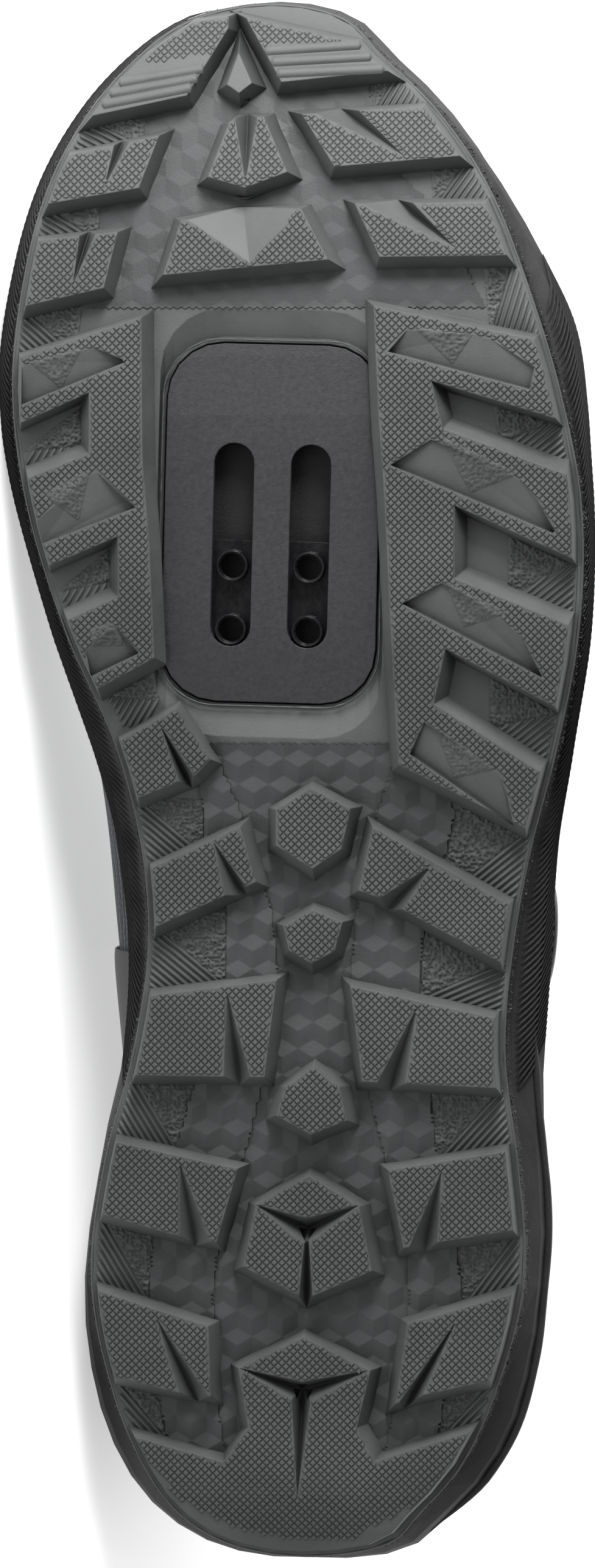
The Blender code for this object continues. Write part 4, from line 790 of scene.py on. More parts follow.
# Pebbled triangles on the sloping panels of the rails
PANEL_PEBBLES = (
    ((-0.902, 0.7687), (-0.728, 0.7779), (-0.800, 0.7525)),
    ((-0.857, 0.6848), (-0.700, 0.7002), (-0.740, 0.6680)),
    ((-0.700, 0.5985), (-0.622, 0.6030), (-0.580, 0.5885), (-0.690, 0.5880)),
    ((0.389, 0.7907), (0.581, 0.7856), (0.516, 0.7677)),
    ((0.480, 0.7219), (0.740, 0.6979), (0.578, 0.6859)),
    ((0.494, 0.6298), (0.705, 0.6098), (0.557, 0.6005)),
    ((0.455, 0.5380), (0.660, 0.5100), (0.525, 0.5040)),
)
PEBBLE_CELL = 0.00021
PEBBLE_SIZE = 0.00072
PEBBLE_HEIGHT = 0.00050
PANEL_PEBBLE_HEIGHT = 0.00026
PEBBLE_SINK = 0.00004
PEBBLE_EDGE = 0.0002
PEBBLE_FADE = 0.0006
FOLD_SHARPNESS = 3.2
FINE_FOLD = 0.35
FINE_SCALE = 2.3
FINE_SHIFT = Vector((7, 3, 1))
RIB_PITCH = 0.00105
RIB_WIDTH = 0.00078
RIB_HEIGHT = 0.00042
RIB_SINK = 0.00002
RIB_TAPER = 0.0004
RIB_LEAST = 0.0012
RIB_REACH = 0.1
RIB_PROFILE = ((-0.50, 0.0), (-0.32, 0.8), (0.0, 1.0), (0.32, 0.8), (0.50, 0.0))
RIB_ANGLE = math.radians(50)
GAP_INSET = 0.0006
HELD_MARGIN = 0.02


def add_pebble(verts, faces, plan, ground, height=PEBBLE_HEIGHT):
    """Wrinkled rubber over a plan polygon, fading out at its sides."""
    low = Vector((min(p.x for p in plan), min(p.y for p in plan)))
    high = Vector((max(p.x for p in plan), max(p.y for p in plan)))
    index = {}
    for row in range(int((high.y - low.y) / PEBBLE_CELL) + 2):
        for column in range(int((high.x - low.x) / PEBBLE_CELL) + 2):
            point = low + Vector((column, row)) * PEBBLE_CELL
            edge = inside_depth(plan, point)
            if edge < -PEBBLE_EDGE:
                continue
            floor = ground(point)
            if floor is None:
                continue
            spot = point.to_3d() / PEBBLE_SIZE
            fold = 1.0 - min(abs(noise.noise(spot)) * FOLD_SHARPNESS, 1.0)
            fold += FINE_FOLD * noise.noise(spot * FINE_SCALE + FINE_SHIFT)
            fade = min(max(edge + PEBBLE_EDGE, 0.0) / PEBBLE_FADE, 1.0)
            index[row, column] = len(verts)
            verts.append(lifted(point, floor - PEBBLE_SINK - height * max(fold, 0.0) * fade))
    for row, column in index:
        keys = [(row, column), (row + 1, column), (row + 1, column + 1), (row, column + 1)]
        if all(key in index for key in keys):
            faces.append([index[key] for key in keys])


def add_ribs(verts, faces, plan, direction):
    """Rounded ribs side by side over a convex plan."""
    across = Vector((-direction.y, direction.x))
    offsets = [p.dot(across) for p in plan]
    offset = min(offsets) + RIB_PITCH / 2
    middle = sum(plan, Vector((0, 0))) / len(plan)
    while offset < max(offsets):
        point = middle + across * (offset - middle.dot(across))
        part = clip_line(plan, point, direction * RIB_REACH)
        offset += RIB_PITCH
        if part is None or (part[1] - part[0]) * RIB_REACH < RIB_LEAST:
            continue
        start = len(verts)
        low, high = part[0] * RIB_REACH, part[1] * RIB_REACH
        for reach, size in ((low, 0.3), (low + RIB_TAPER, 1.0), (high - RIB_TAPER, 1.0), (high, 0.3)):
            for side, rise_share in RIB_PROFILE:
                spot = point + direction * reach + across * side * RIB_WIDTH * size
                floor = web_level(spot.x, spot.y)
                verts.append(lifted(spot, floor + RIB_SINK - RIB_HEIGHT * rise_share * size))
        add_grid(faces, start, 4, len(RIB_PROFILE))


def gap_plan(side, upper, lower, outer_upper, outer_lower):
    """Corners of an open floor: inner upper and lower, outer lower and upper."""
    outer = [edge_point(side, along, -GAP_INSET) for along in (outer_lower, outer_upper)]
    return [place(*upper), place(*lower)] + outer


def held_in(across, along):
    """Plan point from its shares, kept just inside the outline."""
    limit = SOLE.at("medial" if across < 0 else "lateral", along) - HELD_MARGIN
    return place(math.copysign(min(abs(across), limit), across), along)


def web_under(point):
    """Ground of a pebble on the web."""
    return web_level(point.x, point.y)


def panel_under(point):
    """Ground of a pebble on a panel."""
    return depth_at(point.x, point.y)


def build_floors():
    """Pebble and ribs on the open floors, in the pockets and on the panels of the rails."""
    pebble_verts, pebble_faces, rib_verts, rib_faces = [], [], [], []
    for row in GAPS:
        inner_upper, inner_lower, outer_lower, outer_upper = gap_plan(*row)
        add_pebble(pebble_verts, pebble_faces, [inner_upper, inner_lower, outer_upper], web_under)
        slope = (outer_upper - inner_lower).normalized()
        add_ribs(rib_verts, rib_faces, [inner_lower, outer_lower, outer_upper], slope)
    for pebble, ribs, angle in POCKET_FLOORS:
        add_pebble(pebble_verts, pebble_faces, [held_in(*p) for p in pebble], web_under)
        slope = Vector((-math.cos(math.radians(angle)), math.sin(math.radians(angle))))
        add_ribs(rib_verts, rib_faces, [held_in(*p) for p in ribs], slope)
    for panel in PANEL_PEBBLES:
        add_pebble(pebble_verts, pebble_faces, [place(*p) for p in panel], panel_under, PANEL_PEBBLE_HEIGHT)
    make_piece("floor_pebble", pebble_verts, pebble_faces, FLOOR_RUBBER, math.pi)
    make_piece("floor_ribs", rib_verts, rib_faces, FLOOR_RUBBER, RIB_ANGLE)


# Three soft ribs across each toe block: their ends, from the outline to the inner edge
TOE_RIBS = (
    ((-0.725, 0.9330), (-0.425, 0.9440)),
    ((-0.690, 0.9405), (-0.400, 0.9505)),
    ((-0.650, 0.9480), (-0.375, 0.9570)),
    ((0.285, 0.9575), (-0.085, 0.9545)),
    ((0.245, 0.9655), (-0.105, 0.9620)),
    ((0.190, 0.9730), (-0.120, 0.9695)),
)
TOE_RIB_WIDTH = 0.0020
TOE_RIB_HEIGHT = 0.0006
TOE_RIB_SINK = 0.00005
TOE_RIB_STEPS = 60
TOE_RIB_EXTRA = 15
TOE_RIB_PROFILE = ((-0.5, 0.0), (-0.30, 0.6), (0.0, 1.0), (0.30, 0.6), (0.5, 0.0))


def build_toe_ribs():
    """Soft ribs across the flat of the toe blocks, sought a little past their listed ends."""
    verts, faces = [], []
    for outer, inner in TOE_RIBS:
        a, b = place(*outer), place(*inner)
        direction = (b - a).normalized()
        across = Vector((-direction.y, direction.x))
        tries = range(-TOE_RIB_EXTRA, TOE_RIB_STEPS + TOE_RIB_EXTRA + 1)
        run = [a + (b - a) * (t / TOE_RIB_STEPS) for t in tries]
        run = [spot for spot in run if flat_depth(*spot) is not None]
        start = len(verts)
        for i, spot in enumerate(run):
            size = 0.5 if i in (0, len(run) - 1) else 1.0
            level = flat_depth(*spot) + TOE_RIB_SINK
            for side, rise_share in TOE_RIB_PROFILE:
                point = spot + across * side * TOE_RIB_WIDTH * size
                verts.append(lifted(point, level - TOE_RIB_HEIGHT * rise_share * size))
        add_grid(faces, start, len(run), len(TOE_RIB_PROFILE))
    make_piece("toe_ribs", verts, faces, RUBBER, math.pi)


# ---------------------------------------------------------------- midsole

# Ribs under the wall: side, first and last share along, spacing, and each rib's run and profile
MIDSOLE_RIBS = (("lateral", 0.300, 0.800, 0.0046), ("medial", 0.300, 0.960, 0.0046))
WALL_RIB_STEPS = 7
WALL_RIB_RUN = 0.036
WALL_RIB_START = 0.20
WALL_RIB_CLIMB = 0.42
WALL_RIB_CLEAR = 0.00003
WALL_RIB_PROFILE = ((-0.0016, 0.0), (0.0004, 0.00042), (0.0012, 0.0))
ALONG_LIMIT = 0.999


def build_midsole_ribs():
    """Slanting ribs on the underside of the midsole's wall."""
    verts, faces = [], []
    for side, first, last, pitch in MIDSOLE_RIBS:
        along = first
        while along < last:
            start = len(verts)
            for i in range(WALL_RIB_STEPS + 1):
                t = i / WALL_RIB_STEPS
                size = 0.2 if i in (0, WALL_RIB_STEPS) else 1.0
                for shift, lift in WALL_RIB_PROFILE:
                    spot = min(along + WALL_RIB_RUN * t + shift * size, ALONG_LIMIT)
                    share = WALL_RIB_START + WALL_RIB_CLIMB * t
                    verts.append(wall_point(side, spot, share, lift * size + WALL_RIB_CLEAR))
            add_grid(faces, start, WALL_RIB_STEPS + 1, len(WALL_RIB_PROFILE))
            along += pitch
    make_piece("midsole_ribs", verts, faces, MIDSOLE)


RIDGE_STEPS = 60
RIDGE_FRONT = 0.345
RIDGE_RUN = 0.325
RIDGE_SHARE = 0.36
RIDGE_CLIMB = 0.20
RIDGE_SIZE = 0.0010


def build_heel_ridge():
    """Smooth ridge round the outer side of the midsole's heel, thin at both ends."""
    verts, faces, path, sizes = [], [], [], []
    for i in range(RIDGE_STEPS + 1):
        t = i / RIDGE_STEPS
        share = RIDGE_SHARE + RIDGE_CLIMB * min(t * 3, 1.0)
        path.append(wall_point("lateral", RIDGE_FRONT - RIDGE_RUN * t, share))
        sizes.append(RIDGE_SIZE * min(1.0, 8 * t + 0.1, 8 * (1 - t) + 0.1))
    add_tube(verts, faces, path, sizes, 8)
    make_piece("heel_ridge", verts, faces, MIDSOLE, math.pi)


def outline_places(count):
    """Side and share along at points round the shoe's outline."""
    places = []
    for angle in turn_angles(count):
        places.append(("medial" if angle < math.pi else "lateral", 0.5 - 0.5 * math.cos(angle)))
    return places


LIP_STEPS = 420
LIP_SIZE = 0.00030
LIP_OUTSET = 0.00005

# Specks of glue: how many, then least value and spread of their outset, height and size
SPECK_COUNT = 5200
SPECK_OUTSET = (0.00025, 0.0007)
SPECK_LEVEL = (-0.0001, 0.0004)
SPECK_SIZE = (0.00012, 0.00020)


def build_edge_flash():
    """Thin trimmed lip of rubber round the outsole's edge, and a ragged line of glue behind it."""
    verts, faces, path = [], [], []
    for side, along in outline_places(LIP_STEPS):
        flat = edge_point(side, along, LIP_OUTSET)
        path.append(Vector((flat.x, flat.y, rise(flat.y) + LUG_HEIGHT + LIP_SIZE)))
    add_tube(verts, faces, path, LIP_SIZE, 6, closed=True)
    make_piece("edge_lip", verts, faces, RUBBER, math.pi)
    verts, faces = [], []
    spread = random.Random(5)
    for _ in range(SPECK_COUNT):
        side = spread.choice(SIDES)
        along = spread.random()
        flat = edge_point(side, along, SPECK_OUTSET[0] + SPECK_OUTSET[1] * spread.random())
        level = rise(flat.y) + MIDSOLE_BASE + SPECK_LEVEL[0] + SPECK_LEVEL[1] * spread.random()
        size = SPECK_SIZE[0] + SPECK_SIZE[1] * spread.random()
        middle = Vector((flat.x, flat.y, level))
        start = len(verts)
        for _ in range(4):
            verts.append(middle + Vector([spread.uniform(-1, 1) for _ in range(3)]) * size)
        faces += [(start, start + 1, start + 2), (start, start + 2, start + 3),
                  (start, start + 3, start + 1), (start + 1, start + 3, start + 2)]
    make_piece("edge_specks", verts, faces, SPECK)


# ---------------------------------------------------------------- cleat plate

def plate_point(x, y):
    """Plan point of the shoe from a place on the plate, whose axes are turned a little."""
    return place(*PLATE_CENTRE) + Matrix.Rotation(PLATE_TURN, 2) @ Vector((x, y))


FLASH_CORNER_STEPS = 30
FLASH_OUTSET = 0.00045
FLASH_SPACING = 0.0008
FLASH_LIFT = 0.0009
FLASH_SIZE = 0.00016
FLASH_WOBBLE = 0.00012
FLASH_WAVE = 0.0013


def build_window_flash():
    """Ragged edge of rubber where the plate's window was trimmed."""
    corners = []
    half_x, half_y = PLATE_WIDTH / 2 + GAP - PLATE_CORNER, PLATE_LENGTH / 2 + GAP - PLATE_CORNER
    for quarter, (sx, sy) in enumerate(((1, 1), (-1, 1), (-1, -1), (1, -1))):
        for i in range(FLASH_CORNER_STEPS):
            angle = math.pi / 2 * (quarter + i / (FLASH_CORNER_STEPS - 1))
            reach = Vector((math.cos(angle), math.sin(angle))) * (PLATE_CORNER + FLASH_OUTSET)
            corners.append(Vector((sx * half_x, sy * half_y)) + reach)
    verts, faces, line, sizes = [], [], [], []
    for i, here in enumerate(corners):
        before = corners[i - 1]
        parts = max(1, int((here - before).length / FLASH_SPACING))
        for k in range(1, parts + 1):
            flat = plate_point(*before.lerp(here, k / parts))
            wobble = FLASH_WOBBLE * noise.noise(flat.to_3d() / FLASH_WAVE)
            line.append(Vector((*flat, rise(flat.y) + LUG_HEIGHT + FLASH_LIFT + wobble)))
            sizes.append(FLASH_SIZE + wobble)
    add_tube(verts, faces, line, sizes, 6, closed=True)
    make_piece("window_flash", verts, faces, RUBBER, math.pi)


THREAD_TURNS = 4
THREAD_STEPS = 28
THREAD_START = 0.0004
THREAD_PITCH = 0.0008
THREAD_SIZE = 0.00018
COLLAR_RIM_SIZE = 0.00024
COLLAR_RIM_LIFT = 0.00002


def build_threads():
    """Thread turns inside the bores of the nut plate and a rim on each collar."""
    verts, faces = [], []
    rows = BOLT_CENTRE_ALONG * SHOE_LENGTH - place(*PLATE_CENTRE).y
    for sx, sy in ((-1, -1), (-1, 1), (1, -1), (1, 1)):
        centre = plate_point(sx * SLOT_SPACING / 2, rows + sy * BOLT_SPACING / 2)
        level = rise(centre.y) + LUG_HEIGHT + PLATE_RECESS + 2 * GAP
        path, rim = [], []
        for i in range(THREAD_TURNS * THREAD_STEPS + 1):
            angle = 2 * math.pi * i / THREAD_STEPS
            flat = centre + BORE_DIAMETER / 2 * Vector((math.cos(angle), math.sin(angle)))
            path.append(Vector((*flat, level + THREAD_START + THREAD_PITCH * i / THREAD_STEPS)))
        add_tube(verts, faces, path, THREAD_SIZE, 5)
        for angle in turn_angles(THREAD_STEPS):
            flat = centre + (COLLAR_DIAMETER + BORE_DIAMETER) / 4 * Vector((math.cos(angle), math.sin(angle)))
            rim.append(Vector((*flat, level + COLLAR_RIM_LIFT)))
        add_tube(verts, faces, rim, COLLAR_RIM_SIZE, 8, closed=True)
    make_piece("nut_threads", verts, faces, STEEL, math.pi)


# ---------------------------------------------------------------- upper

# Where the upper's heel leans in and its toe slopes, as shares along
HEEL_LEAN_END = 0.30
TOE_SLOPE_START = 0.80


def section_points(side, along):
    """Six points of one half of an upper section, from the seat to its top edge."""
    sign = 1.0 if side == "medial" else -1.0
    foot = edge_point(side, along, FOOT_OUTSET)
    floor = seat(foot.y)
    clear = floor + RIM_HEIGHT + OVERLAY_THICKNESS + 3 * GAP
    points = [Vector((foot.x, foot.y, floor + GAP)), Vector((foot.x, foot.y, clear))]
    height = UPPER.at("height", along) * INSTEP_HEIGHT
    heel_share = max(1.0 - along / HEEL_LEAN_END, 0.0) ** 2
    toe_share = max((along - TOE_SLOPE_START) / (1.0 - TOE_SLOPE_START), 0.0) ** 2
    centre_floor = seat(along * SHOE_LENGTH)
    for level, share, heel, toe in LEVELS:
        x = sign * UPPER.at(level + "_" + side, along) * BALL_HALF_WIDTH
        if level == "edge" and along > THROAT_FRONT:
            medial, lateral = UPPER.at("edge_medial", along), UPPER.at("edge_lateral", along)
            x = (medial - lateral) / 2 * BALL_HALF_WIDTH
        y = along * SHOE_LENGTH + heel * heel_share * HEEL_LEAN - toe * toe_share * TOE_SLOPE
        points.append(Vector((x, y, centre_floor + RIM_HEIGHT + share * (height - RIM_HEIGHT))))
    return points


def upper_point(side, along, step):
    """Point of the upper's outer face at a step from 0 at the seat to 5 at the top edge."""
    points = section_points(side, along)
    points.append(2 * points[5] - points[4])
    points.insert(0, 2 * points[0] - points[1])
    k = min(int(step), 4)
    t = step - k
    p0, p1, p2, p3 = points[k:k + 4]
    return 0.5 * (2 * p1 + (p2 - p0) * t + (2 * p0 - 5 * p1 + 4 * p2 - p3) * t ** 2
                  + (3 * p1 - p0 - 3 * p2 + p3) * t ** 3)


ALONG_STEP = 0.004
FACE_STEP = 0.05
TOP_STEP = 5.0


def upper_frame(side, along, step):
    """Point of the outer face with its directions to the toe and out."""
    here = upper_point(side, along, step)
    ahead = upper_point(side, along + ALONG_STEP, step) - upper_point(side, along - ALONG_STEP, step)
    above = upper_point(side, along, min(step + FACE_STEP, TOP_STEP))
    above -= upper_point(side, along, step - FACE_STEP)
    out = above.cross(ahead).normalized()
    if out.x * (1 if side == "medial" else -1) < 0:
        out = -out
    return here, ahead.normalized(), out


MERGE_DISTANCE = 1e-6
JOIN_ANGLE = math.radians(40)
JOIN_SHAPE = math.radians(60)
SUBDIVISIONS = 2


def soft_copy(node, name, look, shape):
    """Smooth rounded stand-in for a soft node, with its points moved by a function of the shoe's frame."""
    mesh = frame["nodes"][node].data.copy()
    mesh.materials.clear()
    mesh.materials.append(look)
    bm = bmesh.new()
    bm.from_mesh(mesh)
    bmesh.ops.remove_doubles(bm, verts=bm.verts, dist=MERGE_DISTANCE)
    bmesh.ops.join_triangles(bm, faces=bm.faces, angle_face_threshold=JOIN_ANGLE,
                             angle_shape_threshold=JOIN_SHAPE)
    bm.to_mesh(mesh)
    bm.free()
    piece = bpy.data.objects.new(name, mesh)
    bpy.context.collection.objects.link(piece)
    rounding = piece.modifiers.new("rounding", "SUBSURF")
    rounding.levels = rounding.render_levels = SUBDIVISIONS
    finished = bpy.data.meshes.new_from_object(piece.evaluated_get(bpy.context.evaluated_depsgraph_get()))
    piece.modifiers.clear()
    piece.data = finished
    turn = STAND.to_3x3()
    places = [(STAND @ vert.co, (turn @ vert.normal).normalized()) for vert in finished.vertices]
    for vert, (point, normal) in zip(finished.vertices, places):
        vert.co = LAY @ shape(point, normal)
    finished.shade_smooth()
    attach(piece, "root")
    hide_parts(node)
    return piece


# Creases where the vamp bends: share along at the middle, slope to the sides, depth and width in metres
CREASES = ((0.742, -0.16, 0.00055, 0.0026), (0.712, -0.10, 0.00075, 0.0030), (0.683, 0.06, 0.00060, 0.0028))
CREASE_FOOT = 0.16
CREASE_FADE = 0.2
CREASE_SPREAD = 0.12
CREASE_MIDDLE = -0.06
CREASE_SINK = -0.03
QUILT_SPACING = 0.016
QUILT_DEPTH = 0.00035


def uneven(point, wave, height):
    """Faint rise and fall of a soft surface, from the length and height of its waves."""
    return noise.noise(point / wave) * height


def creased(point, normal):
    """Upper with shallow bends over the ball of the foot and a faint unevenness of cloth."""
    across, along = shares(point.x, point.y)
    height = (point.z - seat(point.y)) / INSTEP_HEIGHT
    share = min(max((height - CREASE_FOOT) / CREASE_FADE, 0.0), 1.0)
    depth = 0.0
    for centre, slope, size, width in CREASES:
        offset = (along - centre - slope * CREASE_SPREAD * abs(across - CREASE_MIDDLE)) * SHOE_LENGTH
        depth += size * share * math.exp(-(offset / width) ** 2)
    inward = Vector((-point.x, 0.0, CREASE_SINK)).normalized()
    return point + inward * depth + normal * uneven(point, 0.016, 0.00010)


def quilted(point, normal):
    """Tongue with shallow sewn channels across it."""
    phase = math.cos(2 * math.pi * point.y / QUILT_SPACING)
    return point + normal * (uneven(point, 0.010, 0.00008) - QUILT_DEPTH * max(phase, 0.0) ** 6)


def crown(point, normal):
    """Film with a faint unevenness."""
    return point + normal * uneven(point, 0.02, 0.00004)


COLLAR_STEPS = 60
COLLAR_FRONT = 0.425
COLLAR_START = 0.002

# The lining from the top edge down: step on the upper and how far its padding swells
COLLAR_PROFILE = ((5.00, 0.0), (4.96, 0.0005), (4.80, 0.0016), (4.55, 0.0023), (4.25, 0.0020),
                  (4.00, 0.0010), (3.90, 0.0))
LINING_TOP = 4.99
BINDING_TOP = 4.995
BINDING_SIZE = 0.0015


def build_collar():
    """Padded lining inside the collar and the bound edge on top of it."""
    lines = []
    for side in SIDES:
        lines.append([(side, COLLAR_FRONT * (1 - math.cos(math.pi * i / COLLAR_STEPS)) / 2 + COLLAR_START)
                      for i in range(COLLAR_STEPS + 1)])
    loop = lines[0][::-1] + lines[1][1:]
    verts, faces, edge = [], [], []
    for side, along in loop:
        for step, depth in COLLAR_PROFILE:
            here, _, out = upper_frame(side, along, min(step, LINING_TOP))
            verts.append(here - out * (UPPER_WALL + GAP + depth))
        here, _, out = upper_frame(side, along, BINDING_TOP)
        edge.append(here - out * UPPER_WALL / 2)
    add_grid(faces, 0, len(loop), len(COLLAR_PROFILE))
    lining = make_piece("collar_lining", verts, faces, LINING, math.pi)
    verts, faces = [], []
    add_tube(verts, faces, edge, BINDING_SIZE, 10)
    make_piece("collar_binding", verts, faces, BINDING, math.pi)


# Stitches: length, space between, thickness, distance from a seam's end, and the thread's path
STITCH_LENGTH = 0.0022
STITCH_SPACE = 0.0011
STITCH_SIZE = 0.00026
STITCH_START = 0.001
STITCH_PATH = ((0.0, 0.2), (0.25, 0.9), (0.75, 0.9), (1.0, 0.2))


def add_stitches(verts, faces, line):
    """Short raised threads along a line of points with outward normals."""
    total, marks = 0.0, [0.0]
    for (a, _), (b, _) in zip(line, line[1:]):
        total += (b - a).length
        marks.append(total)

    def at(distance):
        k = 0
        while k < len(marks) - 2 and marks[k + 1] < distance:
            k += 1
        t = (distance - marks[k]) / max(marks[k + 1] - marks[k], 1e-9)
        return line[k][0].lerp(line[k + 1][0], t), line[k][1].lerp(line[k + 1][1], t).normalized()

    start = STITCH_START
    while start + STITCH_LENGTH < total:
        path, ups = [], []
        for t, height in STITCH_PATH:
            point, out = at(start + STITCH_LENGTH * t)
            path.append(point + out * (STITCH_SIZE * height))
            ups.append(out)
        add_tube(verts, faces, path, STITCH_SIZE, 6, ups=ups)
        start += STITCH_LENGTH + STITCH_SPACE


SEAM_STEPS = 80
SEAM_SINK = 0.00002


def film_line(side, first, last, step, lift):
    """Line at one step above the upper, with its outward directions."""
    line = []
    for i in range(SEAM_STEPS + 1):
        here, _, out = upper_frame(side, first + (last - first) * i / SEAM_STEPS, step)
        line.append((here + out * lift, out))
    return line


def build_stitches():
    """Seams of the band round the throat, the collar and the heel counter."""
    verts, faces = [], []
    film = GAP + OVERLAY_THICKNESS - SEAM_SINK
    for side in SIDES:
        seams = ((0.435, 0.765, 4.10, film), (0.435, 0.725, 4.90, film),
                 (0.010, COUNTER_FRONT[side] - 0.015, 3.42, film), (0.010, 0.415, 4.72, SEAM_SINK))
        for seam in seams:
            add_stitches(verts, faces, film_line(side, *seam))
    make_piece("seam_threads", verts, faces, THREAD, math.pi)


INSOLE_STEPS = 160
INSOLE_RINGS = 9
INSOLE_EDGE = (0.0005, 0.9995)
INSOLE_MIDDLE = (0.09, 0.93)
INSOLE_CLEAR = 0.0002
INSOLE_ROUNDING = 0.0008
INSOLE_CUP = 0.0012
INSOLE_CUP_WIDTH = 0.009


def build_insole():
    """Footbed with a raised rim and rounded edges."""
    verts, faces = [], []
    columns = INSOLE_RINGS + 2
    for side, along in outline_places(INSOLE_STEPS):
        edge_along = min(max(along, INSOLE_EDGE[0]), INSOLE_EDGE[1])
        flat = edge_point(side, edge_along, FOOT_OUTSET - UPPER_WALL - 3 * GAP - INSOLE_CLEAR)
        inner = (SOLE.at("lateral", along) - SOLE.at("medial", along)) / 2
        middle = place(inner, min(max(along, INSOLE_MIDDLE[0]), INSOLE_MIDDLE[1]))
        ring = [(flat, GAP + INSOLE_CLEAR), (flat, GAP + INSOLE_THICKNESS - INSOLE_ROUNDING)]
        for k in range(1, INSOLE_RINGS + 1):
            spot = flat.lerp(middle, (k / INSOLE_RINGS) ** 1.5)
            cup = math.exp(-((spot - flat).length / INSOLE_CUP_WIDTH) ** 2)
            ring.append((spot, GAP + INSOLE_THICKNESS - INSOLE_CLEAR - INSOLE_CUP * (1 - cup)))
        verts += [Vector((spot.x, spot.y, seat(spot.y) + level)) for spot, level in ring]
    add_grid(faces, 0, INSOLE_STEPS, columns, closed=True)
    faces.append(tuple(i * columns for i in range(INSOLE_STEPS)))
    piece = make_piece("insole_bed", verts, faces, LINING, math.radians(50))
    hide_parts("insole")


def add_lathe(verts, faces, centre, ahead, across, out, profile, sides=96):
    """Turned ring or cap round an axis, from pairs of radius and level."""
    start = len(verts)
    for angle in turn_angles(sides):
        direction = ahead * math.cos(angle) + across * math.sin(angle)
        verts += [centre + direction * radius + out * level for radius, level in profile]
    add_grid(faces, start, sides, len(profile), closed=True)


def dial_axes():
    """Middle of the dial's knob and its directions, read from the knob's own faces."""
    mesh = frame["nodes"]["dial_knob"].data
    top = max(mesh.polygons, key=lambda face: face.area)
    out = (STAND.to_3x3() @ top.normal).normalized()
    low, high = [Vector(corner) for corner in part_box("dial_knob")]
    middle = STAND @ ((low + high) / 2)
    if out.x > 0:
        out = -out
    ahead = Vector((0, 1, 0))
    ahead = (ahead - out * ahead.dot(out)).normalized()
    return middle, ahead, out.cross(ahead), out


# Radius and level of the cap's turned face; the grips' count, places and thickness
CAP_PROFILE = ((0.0002, 0.00035), (0.0045, 0.00030), (0.0050, 0.00055), (0.0056, 0.00055), (0.0061, 0.00022),
               (0.0088, 0.00026), (0.0092, 0.00060), (0.0102, 0.00060), (0.0108, 0.00030), (0.0112, -0.0002))
GRIP_COUNT = 36
GRIP_FOOT = (0.01285, 0.0009)
GRIP_HEAD = (0.01165, 0.0006)
GRIP_SIZES = [0.00035, 0.00042, 0.00030]


def build_dial_cap():
    """Dished cap with two fine rings on the knob's top, and grips round its side."""
    middle, ahead, across, out = dial_axes()
    mesh = frame["nodes"]["dial_knob"].data
    top = max((STAND @ vert.co - middle).dot(out) for vert in mesh.vertices)
    verts, faces = [], []
    add_lathe(verts, faces, middle + out * top, ahead, across, out, CAP_PROFILE)
    make_piece("dial_cap", verts, faces, PLASTIC, math.radians(45))
    verts, faces = [], []
    for angle in turn_angles(GRIP_COUNT, 0.5):
        direction = ahead * math.cos(angle) + across * math.sin(angle)
        foot = middle + direction * GRIP_FOOT[0] + out * (-top + GRIP_FOOT[1])
        head = middle + direction * GRIP_HEAD[0] + out * (top - GRIP_HEAD[1])
        add_tube(verts, faces, [foot, foot.lerp(head, 0.5), head], GRIP_SIZES, 6, ups=[direction] * 3)
    make_piece("dial_grips", verts, faces, PLASTIC, math.pi)


build_pads()
build_web("rear_relief", REAR_WEB, REAR_RELIEF)
build_web("toe_relief", TOE_WEB, TOE_RELIEF)
build_floors()
build_toe_ribs()
build_midsole_ribs()
build_heel_ridge()
build_edge_flash()
build_window_flash()
build_threads()
soft_copy("upper", "upper_shell", MESH_CLOTH, creased)
soft_copy("counter", "counter_film", FILM, crown)
soft_copy("eyestay", "eyestay_film", FILM, crown)
TONGUE = soft_copy("tongue", "tongue_pad", TONGUE_CLOTH, quilted)
build_collar()
build_stitches()
build_insole()
build_dial_cap()


# ---------------------------------------------------------------- camera, floor and light

CAMERA_DISTANCE = 1.2
SIDE_LEAN = math.radians(5.0)
TOE_LEAN = math.radians(3.0)
VIEW_CENTRE = (0.0, 0.500)
VIEW_LENGTH = 0.2838
SENSOR_SIZE = 36.0
FLOOR_REACH = 4


def build_camera():
    """Camera square to the sole, leaning to its outer side and its toe, with the toe up in the picture."""
    turn = LAY.to_3x3()
    lean = Vector((-math.sin(SIDE_LEAN) * math.cos(TOE_LEAN), math.sin(TOE_LEAN),
                   -math.cos(SIDE_LEAN) * math.cos(TOE_LEAN)))
    back = turn @ lean
    toe = turn @ Vector((0, 1, 0))
    toe = (toe - back * toe.dot(back)).normalized()
    right = toe.cross(back)
    data = bpy.data.cameras.new("camera")
    data.lens = SENSOR_SIZE * CAMERA_DISTANCE / VIEW_LENGTH
    data.clip_start = 0.05
    camera = bpy.data.objects.new("camera", data)
    bpy.context.collection.objects.link(camera)
    target = LAY @ place(*VIEW_CENTRE).to_3d()
    turned = Matrix((right, toe, back)).transposed().to_4x4()
    camera.matrix_world = Matrix.Translation(target + back * CAMERA_DISTANCE) @ turned
    bpy.context.scene.camera = camera
    return back, toe, right


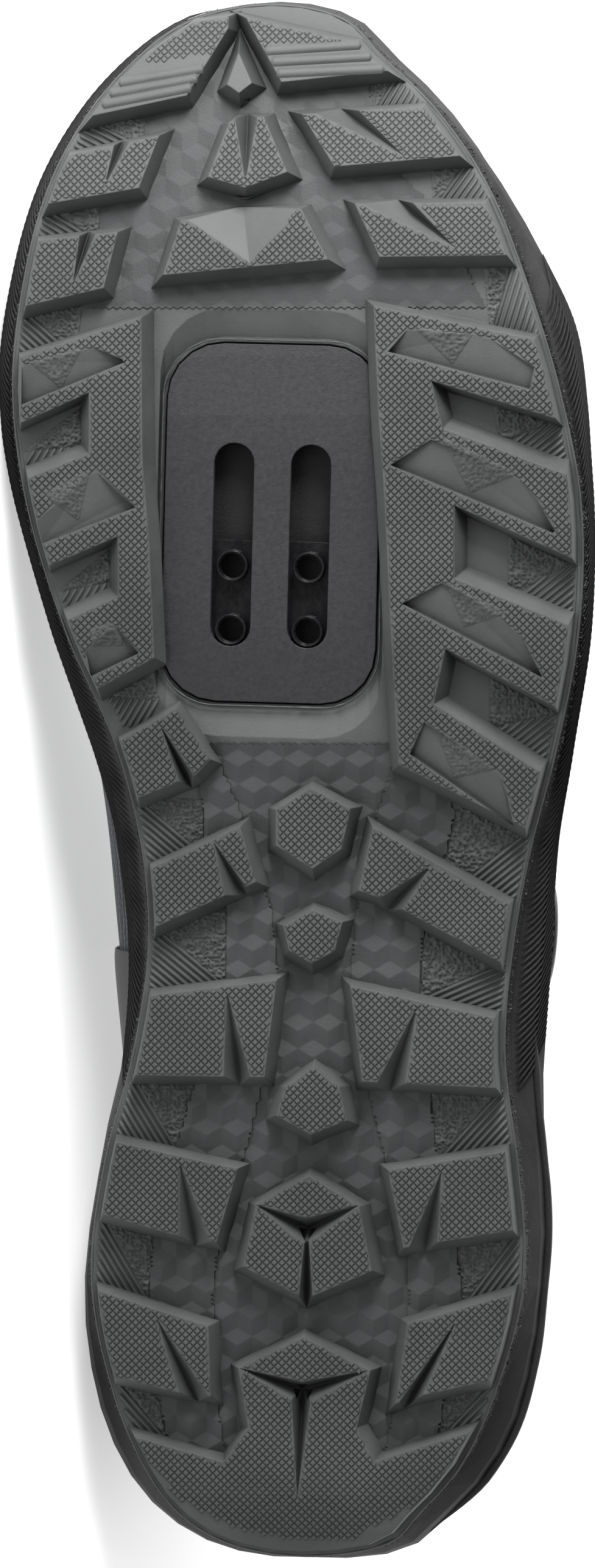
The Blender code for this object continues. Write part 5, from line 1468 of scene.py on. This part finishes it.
def build_floor():
    """White floor, lit a little by itself."""
    mesh = bpy.data.meshes.new("floor")
    corners = [(x * FLOOR_REACH, y * FLOOR_REACH, 0) for x, y in ((-1, -1), (1, -1), (1, 1), (-1, 1))]
    mesh.from_pydata(corners, [], [(0, 1, 2, 3)])
    look, _, _, shader = material("floor_look", (0.90, 0.90, 0.90), 0.8)
    shader.inputs["Emission Color"].default_value = (1.0, 1.0, 1.0, 1.0)
    shader.inputs["Emission Strength"].default_value = 0.50
    mesh.materials.append(look)
    floor = bpy.data.objects.new("floor", mesh)
    bpy.context.collection.objects.link(floor)


def add_light(name, offset, size, power):
    """Area light at an offset from the shoe's middle, aimed at it."""
    data = bpy.data.lights.new(name, "AREA")
    data.shape = "RECTANGLE"
    data.size, data.size_y = size
    data.energy = power
    light = bpy.data.objects.new(name, data)
    bpy.context.collection.objects.link(light)
    target = LAY @ Vector((0, SHOE_LENGTH / 2, 0))
    light.location = target + offset
    light.rotation_mode = "QUATERNION"
    light.rotation_quaternion = offset.to_track_quat("Z", "Y")


def build_world():
    """Studio surround that is bright behind the shoe and softer elsewhere."""
    world = bpy.data.worlds.new("studio")
    world.use_nodes = True
    nodes, links = world.node_tree.nodes, world.node_tree.links
    place_at = nodes.new("ShaderNodeTexCoord")
    split = nodes.new("ShaderNodeSeparateXYZ")
    spread = add(nodes, "MapRange", From_Min=0.45, From_Max=0.85, To_Min=0.36, To_Max=2.0)
    nodes["Background"].inputs["Color"].default_value = (1.0, 1.0, 1.0, 1.0)
    links.new(place_at.outputs["Generated"], split.inputs["Vector"])
    links.new(split.outputs["Y"], spread.inputs["Value"])
    links.new(spread.outputs["Result"], nodes["Background"].inputs["Strength"])
    bpy.context.scene.world = world


BACK, TOE, RIGHT = build_camera()
build_floor()
add_light("key", BACK * 0.34 + TOE * 0.62 + RIGHT * 0.08, (0.35, 0.18), 9.5)
add_light("fill", BACK * 1.2 + TOE * 0.5 + RIGHT * 0.9, (1.0, 1.0), 4.0)
build_world()
bpy.context.scene.view_settings.view_transform = "Standard"
